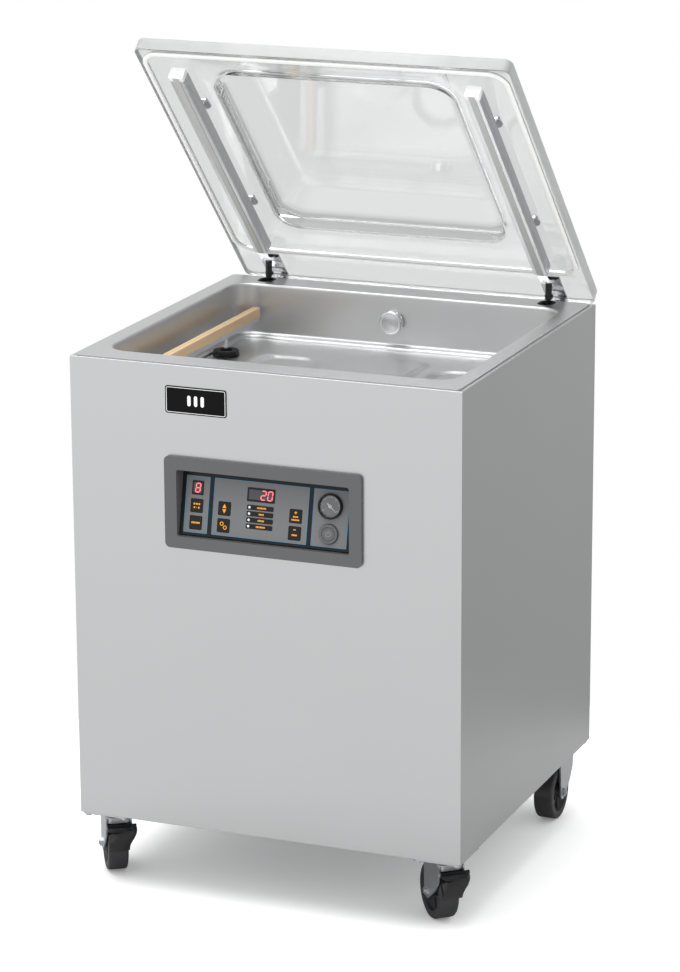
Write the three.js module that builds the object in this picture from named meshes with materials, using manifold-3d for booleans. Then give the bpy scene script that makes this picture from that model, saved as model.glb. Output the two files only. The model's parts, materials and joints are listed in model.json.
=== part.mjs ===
// Floor-standing chamber vacuum packing machine, in millimetres, +Z up, front towards -Y.
// Inside the machine group x = 0, y = 0 is the middle of the cabinet and z = 0 the floor. The group
// is moved in Y at the end, so that the origin is under the middle of the overall depth, lid open.
import * as THREE from 'three';
import { mergeVertices } from 'three/addons/utils/BufferGeometryUtils.js';
import Module from 'manifold-3d';

const wasm = await Module();
wasm.setup();

// ---- driving dimensions -------------------------------------------------------------------------
const CLEARANCE = 0.3; // between pieces that touch
const SHEET = 1.5; // stainless sheet

const CABINET_WIDTH = 700;
const CABINET_DEPTH = 680;
const CABINET_HEIGHT = 812;
const CASTER_HEIGHT = 128;
const CABINET_TOP = CASTER_HEIGHT + CABINET_HEIGHT;
const SIDE = CABINET_WIDTH / 2;
const FRONT = -CABINET_DEPTH / 2;
const REAR = CABINET_DEPTH / 2;

const RIM_INSET = 7; // chamber rim from the cabinet's edges
const RIM_THICKNESS = 2;
const RIM_TOP = CABINET_TOP + CLEARANCE + RIM_THICKNESS;
const CHAMBER_SIDE = 311; // half of the opening's width
const CHAMBER_FRONT = -283;
const CHAMBER_BACK = 274;
const CHAMBER_DEPTH = 98;
const CHAMBER_FLOOR = RIM_TOP - CHAMBER_DEPTH;
const CHAMBER_CORNER = 40;
const CHAMBER_TAPER = 4;
const FLOOR_FILLET = 18;

const LID_SIDE = 338;
const LID_FRONT = -307;
const LID_BACK = 375;
const LID_THICKNESS = 25;
const LID_OPEN_DEG = 46;
const GASKET_SIDE = 322; // inner edge
const GASKET_FRONT = -290;
const GASKET_BACK = 279;
const GASKET_WIDTH = 9;
const GASKET_GROOVE = 6;
const GASKET_PROUD = 3;
const LID_UNDERSIDE = RIM_TOP + CLEARANCE + GASKET_PROUD; // lid closed
const DOME_SIDE = 216;
const DOME_FRONT = -243;
const DOME_BACK = 200;
const DOME_HEIGHT = 66;
const DOME_WALL = 12;

const PIVOT_Y = REAR + 18;
const PIVOT_Z = CABINET_TOP - 4;
const HINGE_X = 269;
const HINGE_WIDTH = 40;
const PIN_RADIUS = 3;
const PIN_BORE = PIN_RADIUS + 0.2;

const BAR_X = 267; // seal bars and counter bars
const BAR_LENGTH = 520; // counter bars
const SEAL_BAR_LENGTH = 512;
const COUNTER_BAR_WIDTH = 27;
const COUNTER_BAR_HEIGHT = 22;
const SEAL_BAR_WIDTH = 14;
const SEAL_BAR_HEIGHT = 25;
const SEAL_BAR_TOP = CABINET_TOP - 38;
const SEAL_BAR_BOTTOM = SEAL_BAR_TOP - SEAL_BAR_HEIGHT;
const ROD_Y = 118;
const ROD_RADIUS = 4;

const GAS_X = 269;
const GAS_LOW = new THREE.Vector3(GAS_X, 311, 640); // lower pivot
const GAS_HIGH = new THREE.Vector3(GAS_X, 319.5, CABINET_TOP + 36); // rod end, lid open
const GAS_TUBE_RADIUS = 9;
const GAS_TUBE_LENGTH = 220;
const GAS_ROD_RADIUS = 4;
const GAS_ROD_START = 100; // inside the tube, from the lower pivot
const GAS_END_RADIUS = 6;
const GAS_END_LENGTH = 30;
const SPRING_HOLE_Y = 309; // in the rim, for the rods
const SPRING_HOLE_WIDTH = 26;
const SPRING_HOLE_LENGTH = 36;

const PANEL_X = 0;
const PANEL_Z = CASTER_HEIGHT + 578;
const PANEL_WIDTH = 354;
const PANEL_HEIGHT = 158.5;
const PANEL_TILT_DEG = 12;
const WINDOW_WIDTH = 310;
const WINDOW_HEIGHT = 115;
const WINDOW_DROP = 1; // window's middle below the bezel's middle

const CASTER_X = 306;
const CASTER_Y = 288;
const WHEEL_RADIUS = 50;
const WHEEL_WIDTH = 36;
const HUB_RADIUS = 12;
const WEB_RADIUS = 35; // hub and tyre stand proud of the web between them
const TRAIL = 32;
const AXLE_RADIUS = 4;

// ---- materials ----------------------------------------------------------------------------------
const finish = (color, roughness, metalness) => ({ color, roughness, metalness });
const SATIN_STEEL = finish(0xc9cbcc, 0.38, 1);
const POLISHED_STEEL = finish(0xd9dadb, 0.18, 1);
const ZINC = finish(0xa9adb0, 0.42, 1);
const ALUMINIUM = finish(0xb4b6b8, 0.35, 1);
const ACRYLIC = finish(0xf2f5f6, 0.04, 0);
const WHITE_SILICONE = finish(0xeeeeee, 0.55, 0);
const DARK_PLASTIC = finish(0x4a4b4d, 0.45, 0);
const BLACK_PLASTIC = finish(0x141414, 0.3, 0);
const BLACK_RUBBER = finish(0x1b1b1c, 0.65, 0);
const PUMP_PAINT = finish(0x39424b, 0.5, 0.3);
const COPPER_WINDING = finish(0x8a4b24, 0.5, 0.6);
const CIRCUIT_GREEN = finish(0x1d5a38, 0.5, 0);
const DIAL_WHITE = finish(0xf4f4f2, 0.5, 0);

// ---- shapes -------------------------------------------------------------------------------------
const radians = THREE.MathUtils.degToRad;

/** A manifold solid from a closed three.js geometry. */
function solid(geometry) {
  const bare = geometry.clone();
  bare.deleteAttribute('normal');
  bare.deleteAttribute('uv');
  const merged = mergeVertices(bare, 1e-4);
  return new wasm.Manifold(new wasm.Mesh({
    numProp: 3,
    vertProperties: merged.attributes.position.array,
    triVerts: Uint32Array.from(merged.index.array),
  }));
}

/** The geometry of a manifold solid. */
function geometryOf(body) {
  const mesh = body.getMesh();
  const geometry = new THREE.BufferGeometry();
  geometry.setAttribute('position', new THREE.BufferAttribute(mesh.vertProperties, 3));
  geometry.setIndex(new THREE.BufferAttribute(mesh.triVerts, 1));
  geometry.computeVertexNormals();
  return geometry;
}

/** The first geometry with the others joined to it. */
function join(...geometries) {
  return geometryOf(geometries.map(solid).reduce((body, next) => body.add(next)));
}

/** The geometry with the tools cut away. */
function cut(geometry, ...tools) {
  return geometryOf(tools.map(solid).reduce((body, tool) => body.subtract(tool), solid(geometry)));
}

/** A box between two corners. */
function block([x0, y0, z0], [x1, y1, z1]) {
  const geometry = new THREE.BoxGeometry(x1 - x0, y1 - y0, z1 - z0);
  return geometry.translate((x0 + x1) / 2, (y0 + y1) / 2, (z0 + z1) / 2);
}

/** A cylinder or cone between two points. */
function rod(start, end, radius, segments = 20, endRadius = radius) {
  const from = new THREE.Vector3(...start);
  const along = new THREE.Vector3(...end).sub(from);
  const geometry = new THREE.CylinderGeometry(endRadius, radius, along.length(), segments);
  geometry.translate(0, along.length() / 2, 0);
  const turn = new THREE.Quaternion().setFromUnitVectors(
    new THREE.Vector3(0, 1, 0), along.clone().normalize());
  return geometry.applyQuaternion(turn).translate(from.x, from.y, from.z);
}

/** A profile of [radius, height] points, from the lowest up, turned round the Z axis. */
function turned(profile, segments) {
  const points = profile.map(([radius, height]) => new THREE.Vector2(radius, height));
  return new THREE.LatheGeometry(points, segments).rotateX(Math.PI / 2);
}

/** A rounded rectangle as a Shape, centred on (x, y). */
function roundedRectangle(width, height, radius, x = 0, y = 0) {
  const shape = new THREE.Shape();
  const [left, right, low, high] = [x - width / 2, x + width / 2, y - height / 2, y + height / 2];
  shape.moveTo(left + radius, low);
  shape.lineTo(right - radius, low);
  shape.absarc(right - radius, low + radius, radius, -Math.PI / 2, 0, false);
  shape.lineTo(right, high - radius);
  shape.absarc(right - radius, high - radius, radius, 0, Math.PI / 2, false);
  shape.lineTo(left + radius, high);
  shape.absarc(left + radius, high - radius, radius, Math.PI / 2, Math.PI, false);
  shape.lineTo(left, low + radius);
  shape.absarc(left + radius, low + radius, radius, Math.PI, Math.PI * 1.5, false);
  return shape;
}

function extruded(shape, depth, curveSegments = 6) {
  return new THREE.ExtrudeGeometry(shape, { depth, bevelEnabled: false, curveSegments });
}

/** A plan outline (x, y) raised from z by height. */
function raised(shape, z, height, curveSegments) {
  return extruded(shape, height, curveSegments).translate(0, 0, z);
}

/** A front outline (x, z) running back from y by depth. */
function facing(shape, y, depth, curveSegments) {
  return extruded(shape, depth, curveSegments).rotateX(Math.PI / 2).translate(0, y + depth, 0);
}

/** A side outline (y, z) running from x by width. */
function sideways(shape, x, width, curveSegments) {
  const toSide = new THREE.Matrix4().makeBasis(
    new THREE.Vector3(0, 1, 0), new THREE.Vector3(0, 0, 1), new THREE.Vector3(1, 0, 0));
  return extruded(shape, width, curveSegments).applyMatrix4(toSide).translate(x, 0, 0);
}

const CORNER_STEPS = 4;

/** Points round a rounded rectangle at height z, anticlockwise from above. */
function ring(side, front, back, radius, z) {
  const corners = [
    [side - radius, front + radius, -90],
    [side - radius, back - radius, 0],
    [radius - side, back - radius, 90],
    [radius - side, front + radius, 180],
  ];
  return corners.flatMap(([x, y, start]) =>
    Array.from({ length: CORNER_STEPS + 1 }, (_, step) => {
      const angle = radians(start + (90 * step) / CORNER_STEPS);
      return [x + radius * Math.cos(angle), y + radius * Math.sin(angle), z];
    }));
}

/** A closed body skinned over rings; its ends are capped, or joined where endless is true. */
function lofted(rings, endless = false) {
  const count = rings[0].length;
  const points = rings.flat();
  const triangles = [];
  const bands = endless ? rings.length : rings.length - 1;
  for (let band = 0; band < bands; band++) {
    const low = band * count;
    const high = ((band + 1) % rings.length) * count;
    for (let i = 0; i < count; i++) {
      const next = (i + 1) % count;
      triangles.push(low + i, low + next, high + next, low + i, high + next, high + i);
    }
  }
  if (!endless) {
    const last = (rings.length - 1) * count;
    const middle = (ringPoints) => [
      ringPoints.reduce((sum, p) => sum + p[0], 0) / count,
      ringPoints.reduce((sum, p) => sum + p[1], 0) / count,
      ringPoints[0][2],
    ];
    points.push(middle(rings[0]), middle(rings.at(-1)));
    for (let i = 0; i < count; i++) {
      const next = (i + 1) % count;
      triangles.push(points.length - 2, next, i, points.length - 1, last + i, last + next);
    }
  }
  const geometry = new THREE.BufferGeometry();
  geometry.setAttribute('position', new THREE.Float32BufferAttribute(points.flat(), 3));
  geometry.setIndex(triangles);
  geometry.computeVertexNormals();
  return geometry;
}

// ---- scene graph --------------------------------------------------------------------------------
const machine = new THREE.Group();

function piece(name, geometry, look, parent = machine) {
  const mesh = new THREE.Mesh(geometry, new THREE.MeshStandardMaterial(look));
  mesh.name = name;
  parent.add(mesh);
  return mesh;
}

const HANDS = [['left', -1], ['right', 1]];

// ---- cabinet ------------------------------------------------------------------------------------
const FOLD_SIDE = 25; // widths of the top's folded edges
const FOLD_FRONT = 40;
const FOLD_REAR = 16;
const SLEEVE_INSET = 11; // the panel bezel's sleeve inside its flange
const SLOT_ROWS = 8;
const SLOT_PITCH = 22;
const SLOT_HEIGHT = 8;
const SLOT_LENGTH = 180;
const SLOT_BANK_X = 150;
const SLOT_LOWEST = CASTER_HEIGHT + 150;
const INLET_X = 250;
const INLET_Z = CASTER_HEIGHT + 90;
const INLET_WIDTH = 46;
const INLET_HEIGHT = 26;
const TRAY_THICKNESS = 2;
const VENTS = [-60, -20, 20, 60]; // slots in the tray, across
const VENT_WIDTH = 10;
const VENT_FRONT = -250;
const VENT_BACK = -90;

// A sheet wrapper of front, sides and folded top, open at the back and below.
function cabinetShell() {
  const wrapper = block([-SIDE, FRONT, CASTER_HEIGHT], [SIDE, REAR - SHEET - CLEARANCE, CABINET_TOP]);
  const inside = block([SHEET - SIDE, FRONT + SHEET, 0], [SIDE - SHEET, REAR + 1, CABINET_TOP - SHEET]);
  const chamberHole = block(
    [FOLD_SIDE - SIDE, FRONT + FOLD_FRONT, CABINET_TOP - 20],
    [SIDE - FOLD_SIDE, REAR - FOLD_REAR, CABINET_TOP + 1]);
  const margin = 2 * (SLEEVE_INSET - 1);
  const panelHole = facing(
    roundedRectangle(PANEL_WIDTH - margin, PANEL_HEIGHT - margin, 6, PANEL_X, PANEL_Z), FRONT - 1, 10);
  return cut(wrapper, inside, chamberHole, panelHole);
}

// The back sheet lies over the shell's rear edges. Two banks of cooling slots.
function rearPanel() {
  const back = REAR - SHEET;
  const sheet = block([-SIDE, back, CASTER_HEIGHT], [SIDE, REAR, CABINET_TOP]);
  const slots = [];
  for (const middle of [-SLOT_BANK_X, SLOT_BANK_X]) {
    for (let row = 0; row < SLOT_ROWS; row++) {
      const [start, z] = [middle - SLOT_LENGTH / 2, SLOT_LOWEST + row * SLOT_PITCH];
      slots.push(block([start, back - 1, z], [start + SLOT_LENGTH, REAR + 1, z + SLOT_HEIGHT]));
    }
  }
  const margin = 2 * CLEARANCE;
  const inletHole = facing(
    roundedRectangle(INLET_WIDTH + margin, INLET_HEIGHT + margin, 2, INLET_X, INLET_Z), back - 1, 10, 2);
  return cut(sheet, inletHole, ...slots);
}

// The tray that carries the pump, with the casters bolted under it.
function basePlate() {
  const gap = SHEET + CLEARANCE;
  const top = CASTER_HEIGHT + TRAY_THICKNESS;
  const plate = block([gap - SIDE, FRONT + gap, CASTER_HEIGHT], [SIDE - gap, REAR - gap, top]);
  const vents = VENTS.map((x) => block(
    [x - VENT_WIDTH / 2, VENT_FRONT, CASTER_HEIGHT - 1], [x + VENT_WIDTH / 2, VENT_BACK, top + 1]));
  return cut(plate, ...vents);
}

piece('cabinet_shell', cabinetShell(), SATIN_STEEL);
piece('rear_panel', rearPanel(), SATIN_STEEL);
piece('base_plate', basePlate(), ZINC);

// ---- vacuum chamber -----------------------------------------------------------------------------
const PLATEAU_X = 50;
const PLATEAU_Y = -5;
const PLATEAU_WIDTH = 190;
const PLATEAU_LENGTH = 420;
const PLATEAU_CORNER = 30;
const PLATEAU_RISE = 3.5;
const COLLAR_NECK = 14; // lift cylinder's radius through the floor
const COLLAR_RADIUS = 23.5;
const COLLAR_HEIGHT = 10.5;
const LIFT_RADIUS = 25; // lift cylinder's body under the floor
const LIFT_LENGTH = 62;
const CAP_X = -8;
const CAP_Z = CABINET_TOP - 46;
const CAP_SEAT = CHAMBER_BACK - 3.4; // clear of the tapered wall
const CAP_STEM = 36;
const CAP_STEM_RADIUS = 9;

// One drawn sheet: a flat rim, a rounded lip, tapered walls, a filleted floor and a low plateau.
function chamberTub() {
  const at = (grow, z, radius = CHAMBER_CORNER) =>
    ring(CHAMBER_SIDE + grow, CHAMBER_FRONT - grow, CHAMBER_BACK + grow, radius + grow, z);
  const rimEdge = (z) => ring(
    SIDE - RIM_INSET, FRONT + RIM_INSET, REAR - RIM_INSET, 6, z);
  const fillet = (radius, thickness) => [0, 30, 60, 90].map((degrees) => at(
    -CHAMBER_TAPER - radius + thickness + radius * Math.cos(radians(degrees)),
    CHAMBER_FLOOR + FLOOR_FILLET - radius * Math.sin(radians(degrees)),
    CHAMBER_CORNER - CHAMBER_TAPER));
  const walls = lofted([
    ...fillet(FLOOR_FILLET + RIM_THICKNESS, RIM_THICKNESS).reverse(),
    at(RIM_THICKNESS, RIM_TOP - 12),
    at(RIM_THICKNESS + 4, RIM_TOP - RIM_THICKNESS),
    rimEdge(RIM_TOP - RIM_THICKNESS),
    rimEdge(RIM_TOP),
    at(5, RIM_TOP),
    at(1.5, RIM_TOP - 1.5),
    at(0, RIM_TOP - 5),
    ...fillet(FLOOR_FILLET, 0),
  ]);
  const plateau = raised(
    roundedRectangle(PLATEAU_WIDTH, PLATEAU_LENGTH, PLATEAU_CORNER, PLATEAU_X, PLATEAU_Y),
    CHAMBER_FLOOR - 1, PLATEAU_RISE + 1, 4);
  const rodHoles = [-BAR_X, BAR_X].flatMap((x) => [-ROD_Y, ROD_Y].map((y) =>
    rod([x, y, CHAMBER_FLOOR - 10], [x, y, CHAMBER_FLOOR + 10], COLLAR_NECK + CLEARANCE)));
  const suctionHole = rod(
    [CAP_X, CHAMBER_BACK - 20, CAP_Z], [CAP_X, CHAMBER_BACK + 20, CAP_Z], CAP_STEM_RADIUS + CLEARANCE);
  const holeCorner = SPRING_HOLE_WIDTH / 2 - 0.1;
  const springHoles = [-GAS_X, GAS_X].map((x) => raised(
    roundedRectangle(SPRING_HOLE_WIDTH, SPRING_HOLE_LENGTH, holeCorner, x, SPRING_HOLE_Y),
    RIM_TOP - 10, 20, 4));
  return cut(join(walls, plateau), ...rodHoles, suctionHole, ...springHoles);
}

// A round nut over the suction hole, with its hollow stem running back through the wall.
function suctionCap() {
  const profile = [
    [0, -14], [18, -14], [21, -10], [21, -1], [15, -1], [15, 0],
    [CAP_STEM_RADIUS, 0], [CAP_STEM_RADIUS, CAP_STEM], [0, CAP_STEM],
  ];
  const head = turned(profile, 20);
  const bore = turned([[0, -8], [6.5, -8], [6.5, CAP_STEM + 1], [0, CAP_STEM + 1]], 12);
  const suctionSlots = [0, 60, 120].map((degrees) =>
    block([-1.5, -30, -9], [1.5, 30, -3]).rotateZ(radians(degrees)));
  return cut(head, bore, ...suctionSlots).rotateX(-Math.PI / 2).translate(CAP_X, CAP_SEAT, CAP_Z);
}

piece('chamber_tub', chamberTub(), SATIN_STEEL);
piece('suction_cap', suctionCap(), POLISHED_STEEL);

// ---- seal bars, their rods and lift cylinders ---------------------------------------------------
function sealBar(x) {
  const half = SEAL_BAR_LENGTH / 2;
  const outline = new THREE.Shape();
  outline.moveTo(6 - half, SEAL_BAR_BOTTOM);
  outline.lineTo(half - 6, SEAL_BAR_BOTTOM);
  outline.lineTo(half, SEAL_BAR_BOTTOM + 8);
  outline.lineTo(half, SEAL_BAR_TOP - 1.5);
  outline.lineTo(half - 1.5, SEAL_BAR_TOP);
  outline.lineTo(1.5 - half, SEAL_BAR_TOP);
  outline.lineTo(-half, SEAL_BAR_TOP - 1.5);
  outline.lineTo(-half, SEAL_BAR_BOTTOM + 8);
  return sideways(outline, x - SEAL_BAR_WIDTH / 2, SEAL_BAR_WIDTH);
}

// A black collar on the chamber floor and the cylinder's body under it, bored for the rod.
function liftCylinder() {
  const body = turned([
    [0, -LIFT_LENGTH], [LIFT_RADIUS, -LIFT_LENGTH], [LIFT_RADIUS, -3], [COLLAR_NECK, -3],
    [COLLAR_NECK, CLEARANCE], [COLLAR_RADIUS - 2.5, CLEARANCE], [COLLAR_RADIUS, 2],
    [COLLAR_RADIUS, COLLAR_HEIGHT - 1.5], [COLLAR_RADIUS - 2.5, COLLAR_HEIGHT], [0, COLLAR_HEIGHT],
  ], 20);
  const guide = ROD_RADIUS + 0.4;
  const bore = turned([[0, -40], [guide, -40], [guide, 5], [10, 5], [12, 20], [0, 20]], 14);
  return cut(body, bore);
}

for (const [hand, sign] of HANDS) {
  const x = sign * BAR_X;
  piece(`seal_bar_${hand}`, sealBar(x), ALUMINIUM);
  for (const [place, y] of [['front', -ROD_Y], ['back', ROD_Y]]) {
    const pushRod = rod([x, y, CHAMBER_FLOOR - 30], [x, y, SEAL_BAR_BOTTOM - CLEARANCE], ROD_RADIUS, 16);
    piece(`push_rod_${hand}_${place}`, pushRod, POLISHED_STEEL);
    piece(`lift_cylinder_${hand}_${place}`, liftCylinder(), BLACK_PLASTIC).position.set(x, y, CHAMBER_FLOOR);
  }
}

// ---- lid ----------------------------------------------------------------------------------------
// Everything on the lid is made in the closed position and turned open about the hinge pins.
const lidHinge = new THREE.Group();
lidHinge.position.set(0, PIVOT_Y, PIVOT_Z);
lidHinge.rotation.x = -radians(LID_OPEN_DEG);
const lidParts = new THREE.Group();
lidParts.position.set(0, -PIVOT_Y, -PIVOT_Z);
lidHinge.add(lidParts);
machine.add(lidHinge);

const gasketRing = (grow, z) =>
  ring(GASKET_SIDE + grow, GASKET_FRONT - grow, GASKET_BACK + grow, 26 + grow, z);

function lidShell() {
  const domeRing = (inset, z, wall = 0) => ring(
    DOME_SIDE - inset + wall, DOME_FRONT + inset - wall, DOME_BACK - inset + wall, 42 + wall / 2, z);
  const edge = (z, inset = 0) =>
    ring(LID_SIDE - inset, LID_FRONT + inset, LID_BACK - inset, 14 - inset, z);
  // [inset from the dome's mouth, share of the dome's height]
  const wallCurve = [[0, 0.1], [4, 0.35], [12, 0.65], [26, 0.88], [46, 1]];
  const top = LID_UNDERSIDE + LID_THICKNESS;
  const inner = wallCurve.map(([inset, share]) => domeRing(inset, LID_UNDERSIDE + share * DOME_HEIGHT));
  const outer = wallCurve.slice(2).map(([inset, share]) =>
    domeRing(inset, LID_UNDERSIDE + share * DOME_HEIGHT + DOME_WALL, DOME_WALL));
  return lofted([
    ...inner.reverse(),
    domeRing(-6, LID_UNDERSIDE),
    gasketRing(-0.3, LID_UNDERSIDE),
    gasketRing(-0.3, LID_UNDERSIDE + GASKET_GROOVE),
    gasketRing(GASKET_WIDTH + 0.3, LID_UNDERSIDE + GASKET_GROOVE),
    gasketRing(GASKET_WIDTH + 0.3, LID_UNDERSIDE),
    edge(LID_UNDERSIDE, 1),
    edge(LID_UNDERSIDE + 1),
    edge(top - 2),
    edge(top, 2),
    domeRing(-8, top, DOME_WALL),
    domeRing(4, top + 8, DOME_WALL),
    ...outer,
  ]);
}

function lidGasket() {
  const low = LID_UNDERSIDE - GASKET_PROUD;
  const high = LID_UNDERSIDE + GASKET_GROOVE - CLEARANCE;
  return lofted([
    gasketRing(0, high),
    gasketRing(0, low + 1.5),
    gasketRing(2, low),
    gasketRing(GASKET_WIDTH - 2, low),
    gasketRing(GASKET_WIDTH, low + 1.5),
    gasketRing(GASKET_WIDTH, high),
  ], true);
}

// An aluminium extrusion with a slot along its lower face for the silicone strip.
function counterBar(x) {
  const [half, top] = [COUNTER_BAR_WIDTH / 2, LID_UNDERSIDE - CLEARANCE];
  const [low, slot] = [top - COUNTER_BAR_HEIGHT, 6];
  const outline = new THREE.Shape();
  outline.moveTo(x - half, low + 2);
  outline.lineTo(x - half + 2, low);
  outline.lineTo(x - slot, low);
  outline.lineTo(x - slot, low + 5);
  outline.lineTo(x + slot, low + 5);
  outline.lineTo(x + slot, low);
  outline.lineTo(x + half - 2, low);
  outline.lineTo(x + half, low + 2);
  outline.lineTo(x + half, top);
  outline.lineTo(x - half, top);
  return facing(outline, -BAR_LENGTH / 2, BAR_LENGTH);
}

// A strap under the lid that ends in the hinge knuckle, cut away where the base's ears stand.
function hingeArm(sign) {
  const x = sign * HINGE_X;
  const half = HINGE_WIDTH / 2;
  const knuckleHalf = HINGE_WIDTH / 4;
  const strapLow = RIM_TOP + 0.5;
  const strap = block(
    [x - half, GASKET_BACK + GASKET_WIDTH + 3, strapLow],
    [x + half, PIVOT_Y + 2, LID_UNDERSIDE - CLEARANCE]);
  const knuckle = rod([x - knuckleHalf, PIVOT_Y, PIVOT_Z], [x + knuckleHalf, PIVOT_Y, PIVOT_Z], 8, 16);
  const neck = block([x - knuckleHalf, PIVOT_Y - 7, PIVOT_Z], [x + knuckleHalf, PIVOT_Y + 7, strapLow + 1]);
  const earRooms = [x - half - 10, x + knuckleHalf].map((start) => block(
    [start, PIVOT_Y - 12, PIVOT_Z - 12],
    [start + half, PIVOT_Y + 12, LID_UNDERSIDE - 1.5]));
  const bore = rod([x - half, PIVOT_Y, PIVOT_Z], [x + half, PIVOT_Y, PIVOT_Z], PIN_BORE, 14);
  return cut(join(strap, knuckle, neck), ...earRooms, bore);
}

piece('lid', lidShell(), { ...ACRYLIC, transparent: true, opacity: 0.35 }, lidParts);
piece('lid_gasket', lidGasket(), WHITE_SILICONE, lidParts);
for (const [hand, sign] of HANDS) {
  piece(`counter_bar_${hand}`, counterBar(sign * BAR_X), ALUMINIUM, lidParts);
  piece(`hinge_arm_${hand}`, hingeArm(sign), POLISHED_STEEL, lidParts);
}

// ---- hinges and gas springs ---------------------------------------------------------------------
const EAR_WIDTH = 9.6;

// A plate on the back of the cabinet with two ears round the knuckle.
function hingeBase(x) {
  const half = HINGE_WIDTH / 2;
  const foot = block([x - half, REAR + CLEARANCE, PIVOT_Z - 60], [x + half, REAR + 4, PIVOT_Z - 2]);
  const ears = [-half, half - EAR_WIDTH].map((start) => {
    const outline = new THREE.Shape();
    outline.moveTo(REAR + 2, PIVOT_Z - 40);
    outline.lineTo(PIVOT_Y + 6, PIVOT_Z - 6);
    outline.absarc(PIVOT_Y, PIVOT_Z, 7.6, -0.8, Math.PI, false);
    outline.lineTo(REAR + 2, PIVOT_Z - 10);
    return sideways(outline, x + start, EAR_WIDTH, 4);
  });
  const bore = rod([x - 30, PIVOT_Y, PIVOT_Z], [x + 30, PIVOT_Y, PIVOT_Z], PIN_BORE, 14);
  return cut(join(foot, ...ears), bore);
}

function hingePin(x) {
  const half = HINGE_WIDTH / 2;
  const shaft = rod([x - half - 2, PIVOT_Y, PIVOT_Z], [x + half + 2, PIVOT_Y, PIVOT_Z], PIN_RADIUS, 14);
  const heads = [-1, 1].map((end) => rod(
    [x + end * (half + CLEARANCE), PIVOT_Y, PIVOT_Z], [x + end * (half + 2.5), PIVOT_Y, PIVOT_Z], 5, 12));
  return join(shaft, ...heads);
}

// The cylinder and rod lie on the line from the lower pivot to the rod end.
const springLine = GAS_HIGH.clone().sub(GAS_LOW).normalize();
const onSpring = (sign, distance) => {
  const point = GAS_LOW.clone().addScaledVector(springLine, distance);
  return [sign * GAS_X, point.y, point.z];
};

function gasCylinder(sign) {
  const tube = rod(onSpring(sign, 3), onSpring(sign, GAS_TUBE_LENGTH), GAS_TUBE_RADIUS, 20);
  const eye = rod([sign * GAS_X - 6, GAS_LOW.y, GAS_LOW.z], [sign * GAS_X + 6, GAS_LOW.y, GAS_LOW.z], 8, 16);
  const bore = rod(
    onSpring(sign, 30), onSpring(sign, GAS_TUBE_LENGTH + 1), GAS_ROD_RADIUS + 0.4, 16);
  return cut(join(tube, eye), bore);
}

function gasRod(sign) {
  const length = GAS_HIGH.distanceTo(GAS_LOW);
  const endStart = length - GAS_END_LENGTH;
  const shaft = rod(onSpring(sign, GAS_ROD_START), onSpring(sign, endStart + 4), GAS_ROD_RADIUS, 16);
  const end = rod(onSpring(sign, endStart), onSpring(sign, length), GAS_END_RADIUS, 16);
  return join(shaft, end);
}

for (const [hand, sign] of HANDS) {
  piece(`hinge_base_${hand}`, hingeBase(sign * HINGE_X), POLISHED_STEEL);
  piece(`hinge_pin_${hand}`, hingePin(sign * HINGE_X), POLISHED_STEEL);
  piece(`gas_cylinder_${hand}`, gasCylinder(sign), BLACK_PLASTIC);
  piece(`gas_rod_${hand}`, gasRod(sign), BLACK_PLASTIC);
}

// ---- control panel ------------------------------------------------------------------------------
const BEZEL_LIP = 6;
const SLEEVE_DEPTH = 56;
const BEZEL_FACE = FRONT - CLEARANCE - BEZEL_LIP;
const WINDOW_Z = PANEL_Z - WINDOW_DROP;

function panelBezel() {
  const flange = facing(
    roundedRectangle(PANEL_WIDTH, PANEL_HEIGHT, 9, PANEL_X, PANEL_Z), BEZEL_FACE, BEZEL_LIP);
  const [sleeveWidth, sleeveHeight] = [PANEL_WIDTH - 2 * SLEEVE_INSET, PANEL_HEIGHT - 2 * SLEEVE_INSET];
  const sleeve = facing(
    roundedRectangle(sleeveWidth, sleeveHeight, 5, PANEL_X, PANEL_Z), BEZEL_FACE + 2, SLEEVE_DEPTH);
  const window = facing(
    roundedRectangle(WINDOW_WIDTH, WINDOW_HEIGHT, 4, PANEL_X, WINDOW_Z), BEZEL_FACE - 1, 80);
  return cut(join(flange, sleeve), window);
}

piece('panel_bezel', panelBezel(), DARK_PLASTIC);

// The keypad's own frame: x across, z up the plate, -y out of its face; the top leans back.
const PLATE_DEPTH = 20; // face's middle behind the bezel's face
const PLATE_THICKNESS = 4;
const panel = new THREE.Group();
panel.position.set(PANEL_X, BEZEL_FACE + PLATE_DEPTH, WINDOW_Z);
panel.rotation.x = -radians(PANEL_TILT_DEG);
machine.add(panel);

const KEY_WIDTH = 22;
const KEY_HEIGHT = 22.5;
const KEY_TOP_ROW = -6.5;
const KEY_LOW_ROW = -35;
const KEYS = [
  ['key_program', -126, KEY_TOP_ROW],
  ['key_cursor', -126, KEY_LOW_ROW],
  ['key_up_down', -75.5, KEY_TOP_ROW],
  ['key_select', -75.5, KEY_LOW_ROW],
  ['key_plus', 53, KEY_TOP_ROW],
  ['key_minus', 53, KEY_LOW_ROW],
];
const GAUGE_X = 114;
const GAUGE_Z = 16;
const GAUGE_RADIUS = 21.5;
const GAUGE_BARREL = 18.5; // radius behind the plate
const DIAL_RADIUS = 18.3;
const DIAL_FACE = 2.2; // proud of the plate's face
const DIAL_PIN = 1.6;
const NEEDLE_REACH = 16.5;
const NEEDLE_TAIL = 7;
const NEEDLE_TURN_DEG = 40; // below level, at rest
const POCKET_DEPTH = 2.2; // behind the plate's face, under each key
const BUTTON_Z = -30;
const BUTTON_RADIUS = 16.5;

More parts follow.
